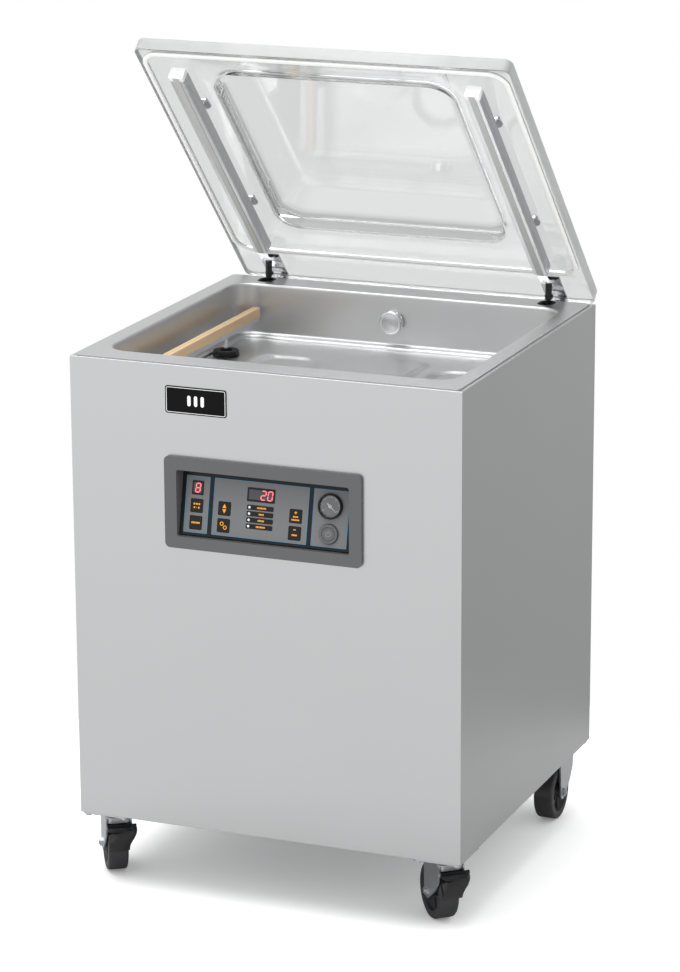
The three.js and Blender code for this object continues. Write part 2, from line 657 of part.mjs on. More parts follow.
function keypad() {
  const height = (WINDOW_HEIGHT - 4) / Math.cos(radians(PANEL_TILT_DEG));
  const plate = facing(roundedRectangle(WINDOW_WIDTH - 1, height, 3), 0, PLATE_THICKNESS, 3);
  const [halfWidth, halfHeight] = [KEY_WIDTH / 2 + 0.5, KEY_HEIGHT / 2 + 0.5];
  const pockets = KEYS.map(([, x, z]) => block(
    [x - halfWidth, -1, z - halfHeight], [x + halfWidth, POCKET_DEPTH, z + halfHeight]));
  const gaugeHole = rod([GAUGE_X, -1, GAUGE_Z], [GAUGE_X, 10, GAUGE_Z], GAUGE_BARREL + 0.6, 20);
  const buttonHole = rod([GAUGE_X, -1, BUTTON_Z], [GAUGE_X, 10, BUTTON_Z], BUTTON_RADIUS + 0.5, 20);
  return cut(plate, ...pockets, gaugeHole, buttonHole);
}

// A black cup with a sunken dial and a barrel behind the plate.
function vacuumGauge() {
  const profile = [
    [0, -26], [GAUGE_BARREL, -26], [GAUGE_BARREL, CLEARANCE], [GAUGE_RADIUS, CLEARANCE],
    [GAUGE_RADIUS, 5], [GAUGE_RADIUS - 1.5, 6.5], [DIAL_RADIUS + 0.5, 6.5], [DIAL_RADIUS, DIAL_FACE],
    [DIAL_PIN, DIAL_FACE], [DIAL_PIN, DIAL_FACE + 2.4], [0, DIAL_FACE + 2.4],
  ];
  return turned(profile, 24).rotateX(Math.PI / 2).translate(GAUGE_X, 0, GAUGE_Z);
}

// A tapered pointer with a ring round the dial's centre pin, pointing to the lower right.
function gaugeNeedle() {
  const outline = new THREE.Shape();
  outline.moveTo(-NEEDLE_TAIL, -0.9);
  outline.lineTo(NEEDLE_REACH, -0.25);
  outline.lineTo(NEEDLE_REACH, 0.25);
  outline.lineTo(-NEEDLE_TAIL, 0.9);
  const pointer = facing(outline, -3.9, 0.7);
  const hub = rod([0, -3.1, 0], [0, -4, 0], 3, 16);
  const bore = rod([0, 0, 0], [0, -6, 0], DIAL_PIN + 0.15, 16);
  const needle = cut(join(pointer, hub), bore);
  return needle.rotateY(radians(NEEDLE_TURN_DEG)).translate(GAUGE_X, 0, GAUGE_Z);
}

piece('keypad', keypad(), BLACK_PLASTIC, panel);
for (const [name, x, z] of KEYS) {
  const cap = facing(roundedRectangle(KEY_WIDTH, KEY_HEIGHT, 2, x, z), -1, 2.4, 2);
  piece(name, cap, BLACK_PLASTIC, panel);
}
piece('vacuum_gauge', vacuumGauge(), BLACK_PLASTIC, panel);
piece('gauge_needle', gaugeNeedle(), DIAL_WHITE, panel);
const button = turned([
  [0, -9], [BUTTON_RADIUS, -9], [BUTTON_RADIUS, 3], [BUTTON_RADIUS - 1.5, 4.5], [0, 4.5],
], 20).rotateX(Math.PI / 2).translate(GAUGE_X, 0, BUTTON_Z);
piece('power_button', button, DARK_PLASTIC, panel);

// ---- casters ------------------------------------------------------------------------------------
const PLATE_TOP = CASTER_HEIGHT - CLEARANCE;
const FORK_TOP = 113;
const CROWN_LOW = 103;
const CROWN_LENGTH = 70;
const FORK_SHEET = 3;
const MOUNTING_WIDTH = 84;
const MOUNTING_LENGTH = 100;

function casterPlate() {
  const plate = raised(roundedRectangle(MOUNTING_WIDTH, MOUNTING_LENGTH, 8), PLATE_TOP - 3, 3, 2);
  const raceLow = FORK_TOP + 0.4;
  const race = turned([
    [0, raceLow], [22, raceLow], [27, PLATE_TOP - 6], [27, PLATE_TOP - 2], [0, PLATE_TOP - 2],
  ], 18);
  return join(plate, race);
}

// Pressed fork with its crown, two side plates and the axle bolt with its nuts.
function casterFork() {
  const half = WHEEL_WIDTH / 2 + 2;
  const crown = raised(
    roundedRectangle(2 * (half + FORK_SHEET), CROWN_LENGTH, 12, 0, -11), CROWN_LOW, FORK_TOP - CROWN_LOW, 2);
  const sideShape = new THREE.Shape();
  sideShape.moveTo(24, FORK_TOP - 2);
  sideShape.lineTo(24, CROWN_LOW);
  sideShape.quadraticCurveTo(26, 72, 11 - TRAIL, WHEEL_RADIUS - 8);
  sideShape.absarc(-TRAIL, WHEEL_RADIUS, 13, -0.6, -Math.PI, true);
  sideShape.lineTo(-46, FORK_TOP - 2);
  const plates = [-half - FORK_SHEET, half].map((x) => sideways(sideShape, x, FORK_SHEET, 3));
  const axle = rod([-half - 9, -TRAIL, WHEEL_RADIUS], [half + 9, -TRAIL, WHEEL_RADIUS], AXLE_RADIUS, 12);
  const nuts = [-1, 1].map((end) => rod(
    [end * (half + 2), -TRAIL, WHEEL_RADIUS], [end * (half + 7), -TRAIL, WHEEL_RADIUS], 8, 6));
  return join(crown, ...plates, axle, ...nuts);
}

function casterWheel() {
  const [half, bore] = [WHEEL_WIDTH / 2, AXLE_RADIUS + 0.15];
  const profile = [
    [bore, -half - 1], [HUB_RADIUS - 1, -half - 1], [HUB_RADIUS, -half + 4],
    [WEB_RADIUS, -half + 4], [WEB_RADIUS + 1, -half], [WHEEL_RADIUS - 4, -half],
    [WHEEL_RADIUS, -half + 5], [WHEEL_RADIUS, half - 5],
    [WHEEL_RADIUS - 4, half], [WEB_RADIUS + 1, half], [WEB_RADIUS, half - 4],
    [HUB_RADIUS, half - 4], [HUB_RADIUS - 1, half + 1], [bore, half + 1], [bore, -half - 1],
  ];
  return turned(profile, 26).rotateY(Math.PI / 2);
}

// A curved shield in front of the fork with a toe tab, hung on a bar at the crown's front edge.
const PEDAL_BAR = [27.5, 99]; // y, z
function brakePedal() {
  const shield = new THREE.Shape();
  shield.moveTo(29.5, 101);
  shield.quadraticCurveTo(37, 78, 26, 54);
  shield.lineTo(23, 54);
  shield.quadraticCurveTo(33, 78, 26.5, 101);
  const bar = rod([-30, ...PEDAL_BAR], [30, ...PEDAL_BAR], 3, 10);
  const tab = raised(roundedRectangle(44, 22, 8, 0, 39), 95.5, 3.5, 3);
  return join(sideways(shield, -31, 62, 6), bar, tab);
}

// [name, x sign, y sign, turn of the fork about its swivel in degrees, brake]; 0 trails to the front
const CASTERS = [
  ['front_left', -1, -1, 213, 'brake_pedal_left'],
  ['front_right', 1, -1, 222, 'brake_pedal_right'],
  ['back_left', -1, 1, 12, null],
  ['back_right', 1, 1, 0, null],
];
for (const [place, xSign, ySign, turn, brake] of CASTERS) {
  const swivel = new THREE.Group();
  swivel.position.set(xSign * CASTER_X, ySign * CASTER_Y, 0);
  machine.add(swivel);
  piece(`caster_plate_${place}`, casterPlate(), ZINC, swivel);
  const turnedPart = new THREE.Group();
  turnedPart.rotation.z = radians(turn);
  swivel.add(turnedPart);
  piece(`caster_fork_${place}`, casterFork(), ZINC, turnedPart);
  piece(`caster_wheel_${place}`, casterWheel(), BLACK_RUBBER, turnedPart)
    .position.set(0, -TRAIL, WHEEL_RADIUS);
  if (brake) piece(brake, brakePedal(), BLACK_PLASTIC, turnedPart);
}

// ---- inside the cabinet -------------------------------------------------------------------------
const TRAY = CASTER_HEIGHT + TRAY_THICKNESS + CLEARANCE;
const PUMP_PORT = [40, 120, TRAY + 210];
const MOTOR_AXIS = [110, TRAY + 88]; // y, z
const BOARD_WIDTH = 240;
const BOARD_HEIGHT = 110;
const BOARD_BACK = 90; // behind the bezel's face

function vacuumPump() {
  const body = block([-60, 20, TRAY + 12], [120, 200, TRAY + 160]);
  const feet = [[-50, 30], [90, 30], [-50, 170], [90, 170]].map(([x, y]) =>
    block([x, y, TRAY], [x + 20, y + 20, TRAY + 14]));
  const separator = rod([30, 15, TRAY + 165], [30, 205, TRAY + 165], 45, 24);
  const port = rod([PUMP_PORT[0], PUMP_PORT[1], TRAY + 150], PUMP_PORT, 14, 16);
  return join(body, ...feet, separator, port);
}

function pumpMotor() {
  const can = rod([-240, ...MOTOR_AXIS], [-60.4, ...MOTOR_AXIS], 72, 20);
  const foot = block([-210, 60, TRAY], [-100, 160, TRAY + 30]);
  const fins = [-200, -160, -120].map((x) => rod([x, ...MOTOR_AXIS], [x + 6, ...MOTOR_AXIS], 78, 20));
  return join(can, foot, ...fins);
}

// From the pump's port up behind the chamber to the suction cap's stem.
function suctionHose() {
  const stemEnd = CAP_SEAT + CAP_STEM + CLEARANCE;
  const route = new THREE.CatmullRomCurve3([
    new THREE.Vector3(PUMP_PORT[0], PUMP_PORT[1], PUMP_PORT[2] + CLEARANCE),
    new THREE.Vector3(PUMP_PORT[0], PUMP_PORT[1], PUMP_PORT[2] + 90),
    new THREE.Vector3(20, 200, PUMP_PORT[2] + 260),
    new THREE.Vector3(CAP_X, 250, CHAMBER_FLOOR - 120),
    new THREE.Vector3(CAP_X, 288, CHAMBER_FLOOR - 60),
  ]);
  const section = new THREE.Shape().absarc(0, 0, 12, 0, 2 * Math.PI, false);
  const run = new THREE.ExtrudeGeometry(section, { steps: 14, curveSegments: 5, extrudePath: route });
  const elbow = rod([CAP_X, 301, CHAMBER_FLOOR - 66], [CAP_X, 301, CAP_Z + 14], 12, 16);
  const foot = rod([CAP_X, 276, CHAMBER_FLOOR - 62], [CAP_X, 313, CHAMBER_FLOOR - 62], 14, 16);
  const socket = rod([CAP_X, stemEnd - 10, CAP_Z], [CAP_X, stemEnd + 16, CAP_Z], 13, 16);
  const stemRoom = rod(
    [CAP_X, stemEnd - 30, CAP_Z], [CAP_X, stemEnd, CAP_Z], CAP_STEM_RADIUS + CLEARANCE, 24);
  return cut(join(run, elbow, foot, socket), stemRoom);
}

function transformer() {
  const core = block([-300, -240, TRAY], [-200, -160, TRAY + 90]);
  const winding = block([-290, -255, TRAY + 15], [-210, -145, TRAY + 75]);
  return join(core, winding);
}

function controlBoard() {
  const y = BEZEL_FACE + BOARD_BACK;
  const board = block(
    [PANEL_X - BOARD_WIDTH / 2, y, PANEL_Z - BOARD_HEIGHT / 2],
    [PANEL_X + BOARD_WIDTH / 2, y + 1.6, PANEL_Z + BOARD_HEIGHT / 2]);
  const relays = [-90, -50, -10, 60].map((x) =>
    block([PANEL_X + x, y + 1, PANEL_Z - 40], [PANEL_X + x + 26, y + 18, PANEL_Z - 22]));
  return join(board, ...relays);
}

// A mains socket inlet in the rear panel.
function mainsInlet() {
  const outline = (grow, radius) =>
    roundedRectangle(INLET_WIDTH + grow, INLET_HEIGHT + grow, radius, INLET_X, INLET_Z);
  const face = facing(outline(10, 4), REAR + CLEARANCE, 3, 3);
  const body = facing(outline(0, 2), REAR - 30, 32, 2);
  const socket = facing(outline(-8, 3), REAR - 16, 30, 2);
  return cut(join(face, body), socket);
}

piece('vacuum_pump', vacuumPump(), PUMP_PAINT);
piece('pump_motor', pumpMotor(), PUMP_PAINT);
piece('suction_hose', suctionHose(), BLACK_RUBBER);
piece('transformer', transformer(), COPPER_WINDING);
piece('control_board', controlBoard(), CIRCUIT_GREEN);
piece('mains_inlet', mainsInlet(), BLACK_PLASTIC);

// ---- origin -------------------------------------------------------------------------------------
const REACH_BACK = 393; // open lid's upper rear edge
machine.position.y = (-FRONT - REACH_BACK) / 2;

export default machine;
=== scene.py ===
import json
import math

import bmesh
import bpy
from mathutils import Matrix, Vector


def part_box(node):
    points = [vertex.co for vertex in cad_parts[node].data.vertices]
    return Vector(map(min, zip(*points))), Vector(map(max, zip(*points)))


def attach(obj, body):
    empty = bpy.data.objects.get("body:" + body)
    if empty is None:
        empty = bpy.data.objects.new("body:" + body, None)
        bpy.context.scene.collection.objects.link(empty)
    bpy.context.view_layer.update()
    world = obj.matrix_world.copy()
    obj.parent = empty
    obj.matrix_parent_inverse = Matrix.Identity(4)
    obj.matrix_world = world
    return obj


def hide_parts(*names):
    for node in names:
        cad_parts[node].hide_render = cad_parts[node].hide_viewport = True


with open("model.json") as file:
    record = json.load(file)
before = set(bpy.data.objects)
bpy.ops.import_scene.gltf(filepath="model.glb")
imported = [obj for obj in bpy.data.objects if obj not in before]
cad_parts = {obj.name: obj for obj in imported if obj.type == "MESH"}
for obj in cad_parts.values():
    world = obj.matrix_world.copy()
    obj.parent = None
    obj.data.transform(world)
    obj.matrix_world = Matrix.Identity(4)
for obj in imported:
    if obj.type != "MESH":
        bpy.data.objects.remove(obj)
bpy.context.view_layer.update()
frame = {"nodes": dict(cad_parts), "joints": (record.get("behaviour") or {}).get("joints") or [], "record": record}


def at(x, y, z):
    return Matrix.Translation((x, y, z))


# ---- facts of the frame ----
JOINTS = {joint["name"]: joint for joint in frame["joints"]}
SLOT_OF = {part["node"]: part["material_slot"] for part in frame["record"]["subparts"]}

CABINET_LOW, CABINET_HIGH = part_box("cabinet_shell")
FRONT = CABINET_LOW.y
MIDDLE = FRONT + 0.340  # the cabinet's middle in depth
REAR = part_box("rear_panel")[1].y
UNDER = CABINET_LOW.z
RIM_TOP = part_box("chamber_tub")[1].z

LID_PIVOT = Vector(JOINTS["lid_hinge"]["pos_m"])
LID_TURN = math.radians(JOINTS["lid_hinge"]["range_deg"][0])
OPENED = at(*LID_PIVOT) @ Matrix.Rotation(LID_TURN, 4, "X") @ at(*-LID_PIVOT)  # from shut to open


def box_in(axes, node):
    """The lowest and highest corner of a node in the axes of a matrix."""
    back = axes.inverted()
    points = [back @ vertex.co for vertex in frame["nodes"][node].data.vertices]
    low = Vector(min(p[i] for p in points) for i in range(3))
    high = Vector(max(p[i] for p in points) for i in range(3))
    return low, high


def closed_box(node):
    """The lowest and highest corner of a node of the lid, with the lid closed."""
    return box_in(OPENED, node)


# ---- materials ----
def add_node(tree, kind, inputs=None, **settings):
    """A node with its settings, and a value or a link for each of its inputs."""
    node = tree.nodes.new(f"ShaderNode{kind}")
    for setting, value in settings.items():
        setattr(node, setting, value)
    for socket, value in (inputs or {}).items():
        if isinstance(value, bpy.types.NodeSocket):
            tree.links.new(value, node.inputs[socket])
        else:
            node.inputs[socket].default_value = value
    return node


def add_bump(tree, height, distance):
    """Bumps the principled shader's normal by a height."""
    bump = add_node(tree, "Bump", {"Strength": 1, "Distance": distance, "Height": height})
    tree.links.new(bump.outputs["Normal"], tree.nodes["Principled BSDF"].inputs["Normal"])


def add_tint(tree, share, low, high):
    """Mixes the principled shader's colour from low to high by a share."""
    tint = add_node(tree, "Mix", {"A": (*low, 1), "B": (*high, 1), "Factor": share}, data_type="RGBA")
    tree.links.new(tint.outputs["Result"], tree.nodes["Principled BSDF"].inputs["Base Color"])


def look(name, color, roughness, metallic=0.0, grain=None, **sockets):
    """A principled material. grain = (scale along x, y, z, bump in metres, roughness and tint spread)."""
    material = bpy.data.materials.new(name)
    material.use_nodes = True
    tree = material.node_tree
    shader = tree.nodes["Principled BSDF"]
    sockets = {"Base Color": (*color, 1), "Roughness": roughness, "Metallic": metallic, **sockets}
    for socket, value in sockets.items():
        shader.inputs[socket.replace("_", " ")].default_value = value
    if grain is None:
        return material
    scale, bump_depth, rough_spread, tint_spread = grain
    place = add_node(tree, "TexCoord").outputs["Object"]
    mapping = add_node(tree, "Mapping", {"Scale": scale, "Vector": place})
    fine = add_node(tree, "TexNoise", {"Scale": 1, "Detail": 3, "Vector": mapping.outputs["Vector"]})
    broad = add_node(tree, "TexNoise", {"Scale": 5, "Detail": 2, "Vector": place})
    halved = add_node(tree, "Math", {0: broad.outputs["Fac"], 1: 0.5}, operation="MULTIPLY")
    both = add_node(tree, "Math", {0: fine.outputs["Fac"], 1: 0.5, 2: halved.outputs[0]},
                    operation="MULTIPLY_ADD").outputs[0]
    rough = add_node(tree, "MapRange", {
        "From Min": 0.3, "From Max": 0.7, "Value": both,
        "To Min": max(0, roughness - rough_spread), "To Max": min(1, roughness + rough_spread)})
    tree.links.new(rough.outputs["Result"], shader.inputs["Roughness"])
    add_tint(tree, both, [c * (1 - tint_spread) for c in color],
             [min(1, c * (1 + tint_spread)) for c in color])
    if bump_depth:
        add_bump(tree, fine.outputs["Fac"], bump_depth)
    return material


def woven_tape():
    """Glass cloth under tan PTFE: two crossing sets of fine threads."""
    material = look("ptfe_tape", (0.62, 0.44, 0.26), 0.5)
    tree = material.node_tree
    place = add_node(tree, "TexCoord").outputs["Object"]
    threads = [
        add_node(tree, "TexWave", {"Scale": 220, "Distortion": 0.4, "Vector": place},
                 bands_direction=direction).outputs["Fac"]
        for direction in ("Y", "Z")
    ]
    cloth = add_node(tree, "Math", dict(enumerate(threads)), operation="MULTIPLY")
    mapping = add_node(tree, "Mapping", {"Scale": (60, 5, 90), "Vector": place})
    stain = add_node(tree, "TexNoise", {"Scale": 1, "Vector": mapping.outputs["Vector"]})
    add_tint(tree, stain.outputs["Fac"], (0.55, 0.37, 0.20), (0.74, 0.56, 0.36))
    add_bump(tree, cloth.outputs[0], 0.0001)
    return material


FINE_GRAIN = (1400, 1400, 1400)
LOOKS = {
    "satin_steel": look("satin_steel", (0.66, 0.665, 0.67), 0.36, 1, ((9, 9, 900), 4e-6, 0.05, 0.03)),
    "polished_steel": look("polished_steel", (0.80, 0.81, 0.82), 0.10, 1, (FINE_GRAIN, 0, 0.04, 0.02)),
    "zinc": look("zinc", (0.62, 0.64, 0.66), 0.34, 1, ((260, 260, 260), 3e-5, 0.10, 0.10)),
    "aluminium": look("aluminium", (0.74, 0.75, 0.76), 0.45, 1, ((900, 8, 900), 3e-6, 0.05, 0.03)),
    "clear_acrylic": look(
        "clear_acrylic", (0.93, 0.94, 0.94), 0.03, Transmission_Weight=1.0, IOR=1.49),
    "white_silicone": look("white_silicone", (0.88, 0.88, 0.87), 0.5, 0, (FINE_GRAIN, 1e-5, 0.06, 0.03)),
    "grey_plastic": look("grey_plastic", (0.098, 0.100, 0.103), 0.46, 0, (FINE_GRAIN, 6e-5, 0.08, 0.10)),
    "black_plastic": look(
        "black_plastic", (0.010, 0.010, 0.011), 0.32, 0, (FINE_GRAIN, 1e-5, 0.06, 0.15),
        Specular_IOR_Level=0.25),
    "black_steel": look("black_steel", (0.015, 0.015, 0.016), 0.26, 0.3, (FINE_GRAIN, 1e-5, 0.06, 0.15)),
    "black_rubber": look("black_rubber", (0.020, 0.020, 0.020), 0.7, 0, (FINE_GRAIN, 8e-5, 0.08, 0.20)),
    "wheel_rubber": look("wheel_rubber", (0.022, 0.022, 0.024), 0.42, 0, ((500, 500, 500), 6e-5, 0.1, 0.2)),
    "white_paint": look("white_paint", (0.90, 0.90, 0.89), 0.4, 0, (FINE_GRAIN, 1e-6, 0.05, 0.02)),
    "pump_paint": look("pump_paint", (0.045, 0.060, 0.080), 0.42, 0, ((220, 220, 220), 2e-4, 0.08, 0.15)),
    "winding": look("winding", (0.33, 0.13, 0.05), 0.34, 0.5, ((30, 900, 900), 3e-4, 0.10, 0.30)),
    "circuit_board": look("circuit_board", (0.015, 0.115, 0.05), 0.34, 0, ((90, 90, 90), 1e-5, 0.1, 0.3)),
}
TUB_STEEL = look("tub_steel", (0.66, 0.665, 0.67), 0.36, 1, ((700, 700, 700), 2e-6, 0.03, 0.02))
SAWN_ACRYLIC = look(
    "sawn_acrylic", (0.62, 0.63, 0.63), 0.42, 0, ((40, 40, 900), 1e-5, 0.05, 0.02),
    Transmission_Weight=0.6, IOR=1.49, Specular_IOR_Level=0.3)
TAPE = woven_tape()
STRIP_SILICONE = look("strip_silicone", (0.46, 0.46, 0.45), 0.5, 0, (FINE_GRAIN, 1e-5, 0.06, 0.03))
PANEL_GREY = look("panel_grey", (0.150, 0.152, 0.158), 0.45, 0, (FINE_GRAIN, 1e-5, 0.05, 0.05))
INK_BLUE = look("ink_blue", (0.02, 0.24, 0.44), 0.4, 0, (FINE_GRAIN, 0, 0.04, 0.08))
# Amber printed marks with a painted glow: the emission makes the print shine though it is no lamp
AMBER_INK_PAINTED_GLOW = look(
    "ink_amber", (0.80, 0.30, 0.01), 0.4, 0, (FINE_GRAIN, 0, 0.04, 0.04),
    Emission_Color=(1.0, 0.42, 0.02, 1), Emission_Strength=0.22)
INK_WHITE = look("ink_white", (0.85, 0.85, 0.85), 0.4, 0, (FINE_GRAIN, 0, 0.04, 0.03))
LED_RED = look(
    "led_red", (0.9, 0.10, 0.13), 0.4, 0, (FINE_GRAIN, 0, 0.04, 0.04),
    Emission_Color=(1.0, 0.16, 0.20, 1), Emission_Strength=1.4)
SMOKED = look("smoked_window", (0.055, 0.055, 0.065), 0.14, 0, (FINE_GRAIN, 0, 0.04, 0.05))
DIAL_GREY = look("dial_grey", (0.24, 0.25, 0.26), 0.35, 0, ((30, 30, 30), 0, 0.05, 0.25))
HOOD_BLACK = look("hood_black", (0.010, 0.010, 0.011), 0.16, 0, (FINE_GRAIN, 1e-5, 0.05, 0.15))
BADGE_BLACK = look(
    "badge_black", (0.004, 0.004, 0.004), 0.30, 0, (FINE_GRAIN, 0, 0.04, 0.10), Specular_IOR_Level=0.1)
GAUGE_GLASS = look("gauge_glass", (1, 1, 1), 0.02, Transmission_Weight=1.0, IOR=1.15)
BRASS = look("brass", (0.72, 0.50, 0.20), 0.28, 1, (FINE_GRAIN, 0, 0.06, 0.05))


# ---- shapes ----
def show(name, mesh, body, slot, place=None, material=None, smooth_deg=35):
    """A piece from a mesh: placed, shaded, riding on its body, in its slot's look or another."""
    if place is not None:
        mesh.transform(place)
    mesh.materials.append(material or LOOKS[slot])
    mesh.shade_smooth()
    obj = bpy.data.objects.new(name, mesh)
    bpy.context.scene.collection.objects.link(obj)
    mesh.set_sharp_from_angle(angle=math.radians(smooth_deg))
    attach(obj, body)
    return obj


def soften(obj, width):
    """Rounds the sharp edges, and keeps flat faces flat in the shading."""
    bevel = obj.modifiers.new("edges", "BEVEL")
    bevel.width = width
    bevel.segments = 2
    bevel.limit_method = "ANGLE"
    bevel.angle_limit = math.radians(35)
    obj.modifiers.new("normals", "WEIGHTED_NORMAL")


def mesh_from(points, faces):
    mesh = bpy.data.meshes.new("shape")
    mesh.from_pydata([tuple(p) for p in points], [], faces)
    edit = bmesh.new()
    edit.from_mesh(mesh)
    bmesh.ops.remove_doubles(edit, verts=edit.verts, dist=1e-6)
    bmesh.ops.recalc_face_normals(edit, faces=edit.faces)
    edit.to_mesh(mesh)
    edit.free()
    return mesh


def joined(*meshes):
    """One mesh from several."""
    edit = bmesh.new()
    for mesh in meshes:
        edit.from_mesh(mesh)
    mesh = bpy.data.meshes.new("shape")
    edit.to_mesh(mesh)
    edit.free()
    return mesh


def skin(rings, endless=False, low_cap=False, high_cap=False):
    """A mesh over rings of the same count of points."""
    count = len(rings[0])
    points = [p for ring in rings for p in ring]
    faces = []
    for band in range(len(rings) if endless else len(rings) - 1):
        low, high = band * count, ((band + 1) % len(rings)) * count
        for i in range(count):
            j = (i + 1) % count
            faces.append((low + i, low + j, high + j, high + i))
    if low_cap:
        faces.append(tuple(range(count)))
    if high_cap:
        faces.append(tuple(range(len(points) - count, len(points))))
    return mesh_from(points, faces)


def lathe(profile, steps=48):
    """A profile of (radius, height) turned round Z."""
    turns = [2 * math.pi * i / steps for i in range(steps)]
    return skin([[(r * math.cos(turn), r * math.sin(turn), h) for turn in turns] for r, h in profile])


def arc(cx, cy, radius, start_deg, end_deg, steps=6):
    """Points along an arc."""
    angles = [math.radians(start_deg + (end_deg - start_deg) * i / steps) for i in range(steps + 1)]
    return [(cx + radius * math.cos(a), cy + radius * math.sin(a)) for a in angles]


def loop(half, front, back, radius, z, side_steps=24, corner_steps=10):
    """Points round a rounded rectangle in plan, anticlockwise from above."""
    corners = [
        arc(half - radius, front + radius, radius, -90, 0, corner_steps),
        arc(half - radius, back - radius, radius, 0, 90, corner_steps),
        arc(radius - half, back - radius, radius, 90, 180, corner_steps),
        arc(radius - half, front + radius, radius, 180, 270, corner_steps),
    ]
    points = []
    for corner, following in zip(corners, corners[1:] + corners[:1]):
        points += corner
        (x0, y0), (x1, y1) = corner[-1], following[0]
        for i in range(1, side_steps):
            share = i / side_steps
            points.append((x0 + (x1 - x0) * share, y0 + (y1 - y0) * share))
    return [(x, y, z) for x, y in points]


def rounded(width, height, radius, cx=0.0, cy=0.0, steps=6):
    """The outline of a rounded rectangle."""
    x, y = width / 2 - radius, height / 2 - radius
    corners = enumerate(((x, y), (-x, y), (-x, -y), (x, -y)))
    return [point for i, (dx, dy) in corners
            for point in arc(cx + dx, cy + dy, radius, 90 * i, 90 * i + 90, steps)]


def slab(outlines, depth, edge=0.0):
    """A flat plate from outlines, inner ones being holes, from z = 0 up by depth."""
    curve = bpy.data.curves.new("outline", "CURVE")
    curve.dimensions = "2D"
    curve.fill_mode = "BOTH"
    curve.extrude = depth / 2 - edge
    curve.bevel_depth = edge
    curve.offset = -edge
    for outline in outlines:
        spline = curve.splines.new("POLY")
        spline.points.add(len(outline) - 1)
        for point, (x, y) in zip(spline.points, outline):
            point.co = (x, y, 0, 1)
        spline.use_cyclic_u = True
    obj = bpy.data.objects.new("outline", curve)
    bpy.context.scene.collection.objects.link(obj)
    bpy.context.view_layer.update()
    mesh = bpy.data.meshes.new_from_object(obj.evaluated_get(bpy.context.evaluated_depsgraph_get()))
    bpy.data.objects.remove(obj)
    mesh.transform(at(0, 0, depth / 2))
    return mesh


def screw_head(radius, height):
    """A pan head with a hexagon socket, from z = 0 up."""
    return lathe(
        [(0, 0), (radius, 0), (radius, height * 0.45)]
        + arc(radius * 0.55, height * 0.45, radius * 0.45, 0, 90, 5)[1:]
        + [(radius * 0.5, height), (radius * 0.42, height * 0.4), (0, height * 0.4)], 24)


def hex_head(radius, height):
    """A hexagon bolt head on its washer, from z = 0 up."""
    washer = lathe([(0, 0), (radius * 1.5, 0), (radius * 1.5, height * 0.25), (0, height * 0.25)], 28)
    head = lathe(
        [(0, height * 0.25), (radius, height * 0.25), (radius, height * 0.9), (radius * 0.88, height),
         (0, height)], 6)
    return joined(washer, head)


def soft_step(share):
    """A share from 0 to 1 that starts and ends gently."""
    share = min(max(share, 0), 1)
    return share * share * (3 - 2 * share)


FORWARD = Matrix.Rotation(math.pi / 2, 4, "X")  # turns a face that looks up so that it looks to -y
BACKWARD = Matrix.Rotation(-math.pi / 2, 4, "X")
DOWNWARD = Matrix.Rotation(math.pi, 4, "X")
SIDEWAYS = Matrix.Rotation(math.pi / 2, 4, "Y")


# ---- carried-over CAD nodes ----
EDGE_OF = {"cabinet_shell": 0.0020, "panel_bezel": 0.0028, "rear_panel": 0.0004, "base_plate": 0.0005}
PLAIN_EDGE = 0.0006


def dress_cad_nodes():
    for name, node in frame["nodes"].items():
        node.data.materials.clear()
        node.data.materials.append(LOOKS[SLOT_OF[name]])
        node.data.shade_smooth()
        weld = node.modifiers.new("weld", "WELD")
        weld.merge_threshold = 1e-5
        flat = node.modifiers.new("flat", "DECIMATE")
        flat.decimate_type = "DISSOLVE"
        flat.angle_limit = math.radians(0.5)
        soften(node, EDGE_OF.get(name, PLAIN_EDGE))


# ---- vacuum chamber ----
OPENING_SIDE = 0.311
OPENING_FRONT = MIDDLE - 0.283
OPENING_BACK = MIDDLE + 0.274
OPENING_CORNER = 0.040
LIP = 0.005
WALL_TAPER = 0.004
COVE = 0.011  # height of the ledge at the foot of the walls
BEND = 0.004
FLOOR = RIM_TOP - 0.098
GROMMET_Y = MIDDLE + 0.309
GROMMET_X = abs(JOINTS["gas_swing_left"]["pos_m"][0])


def pressed(x, y, centre, half, radius, rise, soft):
    """The height at (x, y) of a rounded rectangle pressed into a sheet, with soft edges."""
    dx = max(abs(x - centre[0]) - half[0] + radius, 0)
    dy = max(abs(y - centre[1]) - half[1] + radius, 0)
    return rise * soft_step((radius - math.hypot(dx, dy)) / soft)


# Pressed into the floor: middle, half sizes, corner radius, rise, and width of the soft edge.
PRESSINGS = (
    ((0.010, -0.005), (0.092, 0.206), 0.050, 0.0045, 0.012),
    ((-0.150, 0.112), (0.062, 0.048), 0.042, -0.0060, 0.012),
    ((-0.150, -0.112), (0.062, 0.048), 0.042, -0.0060, 0.012),
    ((0.172, 0.112), (0.050, 0.048), 0.038, -0.0050, 0.011),
    ((0.172, -0.112), (0.050, 0.048), 0.038, -0.0050, 0.011),
)
WALL_STEPS = 6
FLOOR_RINGS = 62
FLOOR_STEP = 0.0040  # from one ring of the floor to the next


def floor_height(x, y):
    return FLOOR + sum(pressed(x, y - MIDDLE, *pressing) for pressing in PRESSINGS)


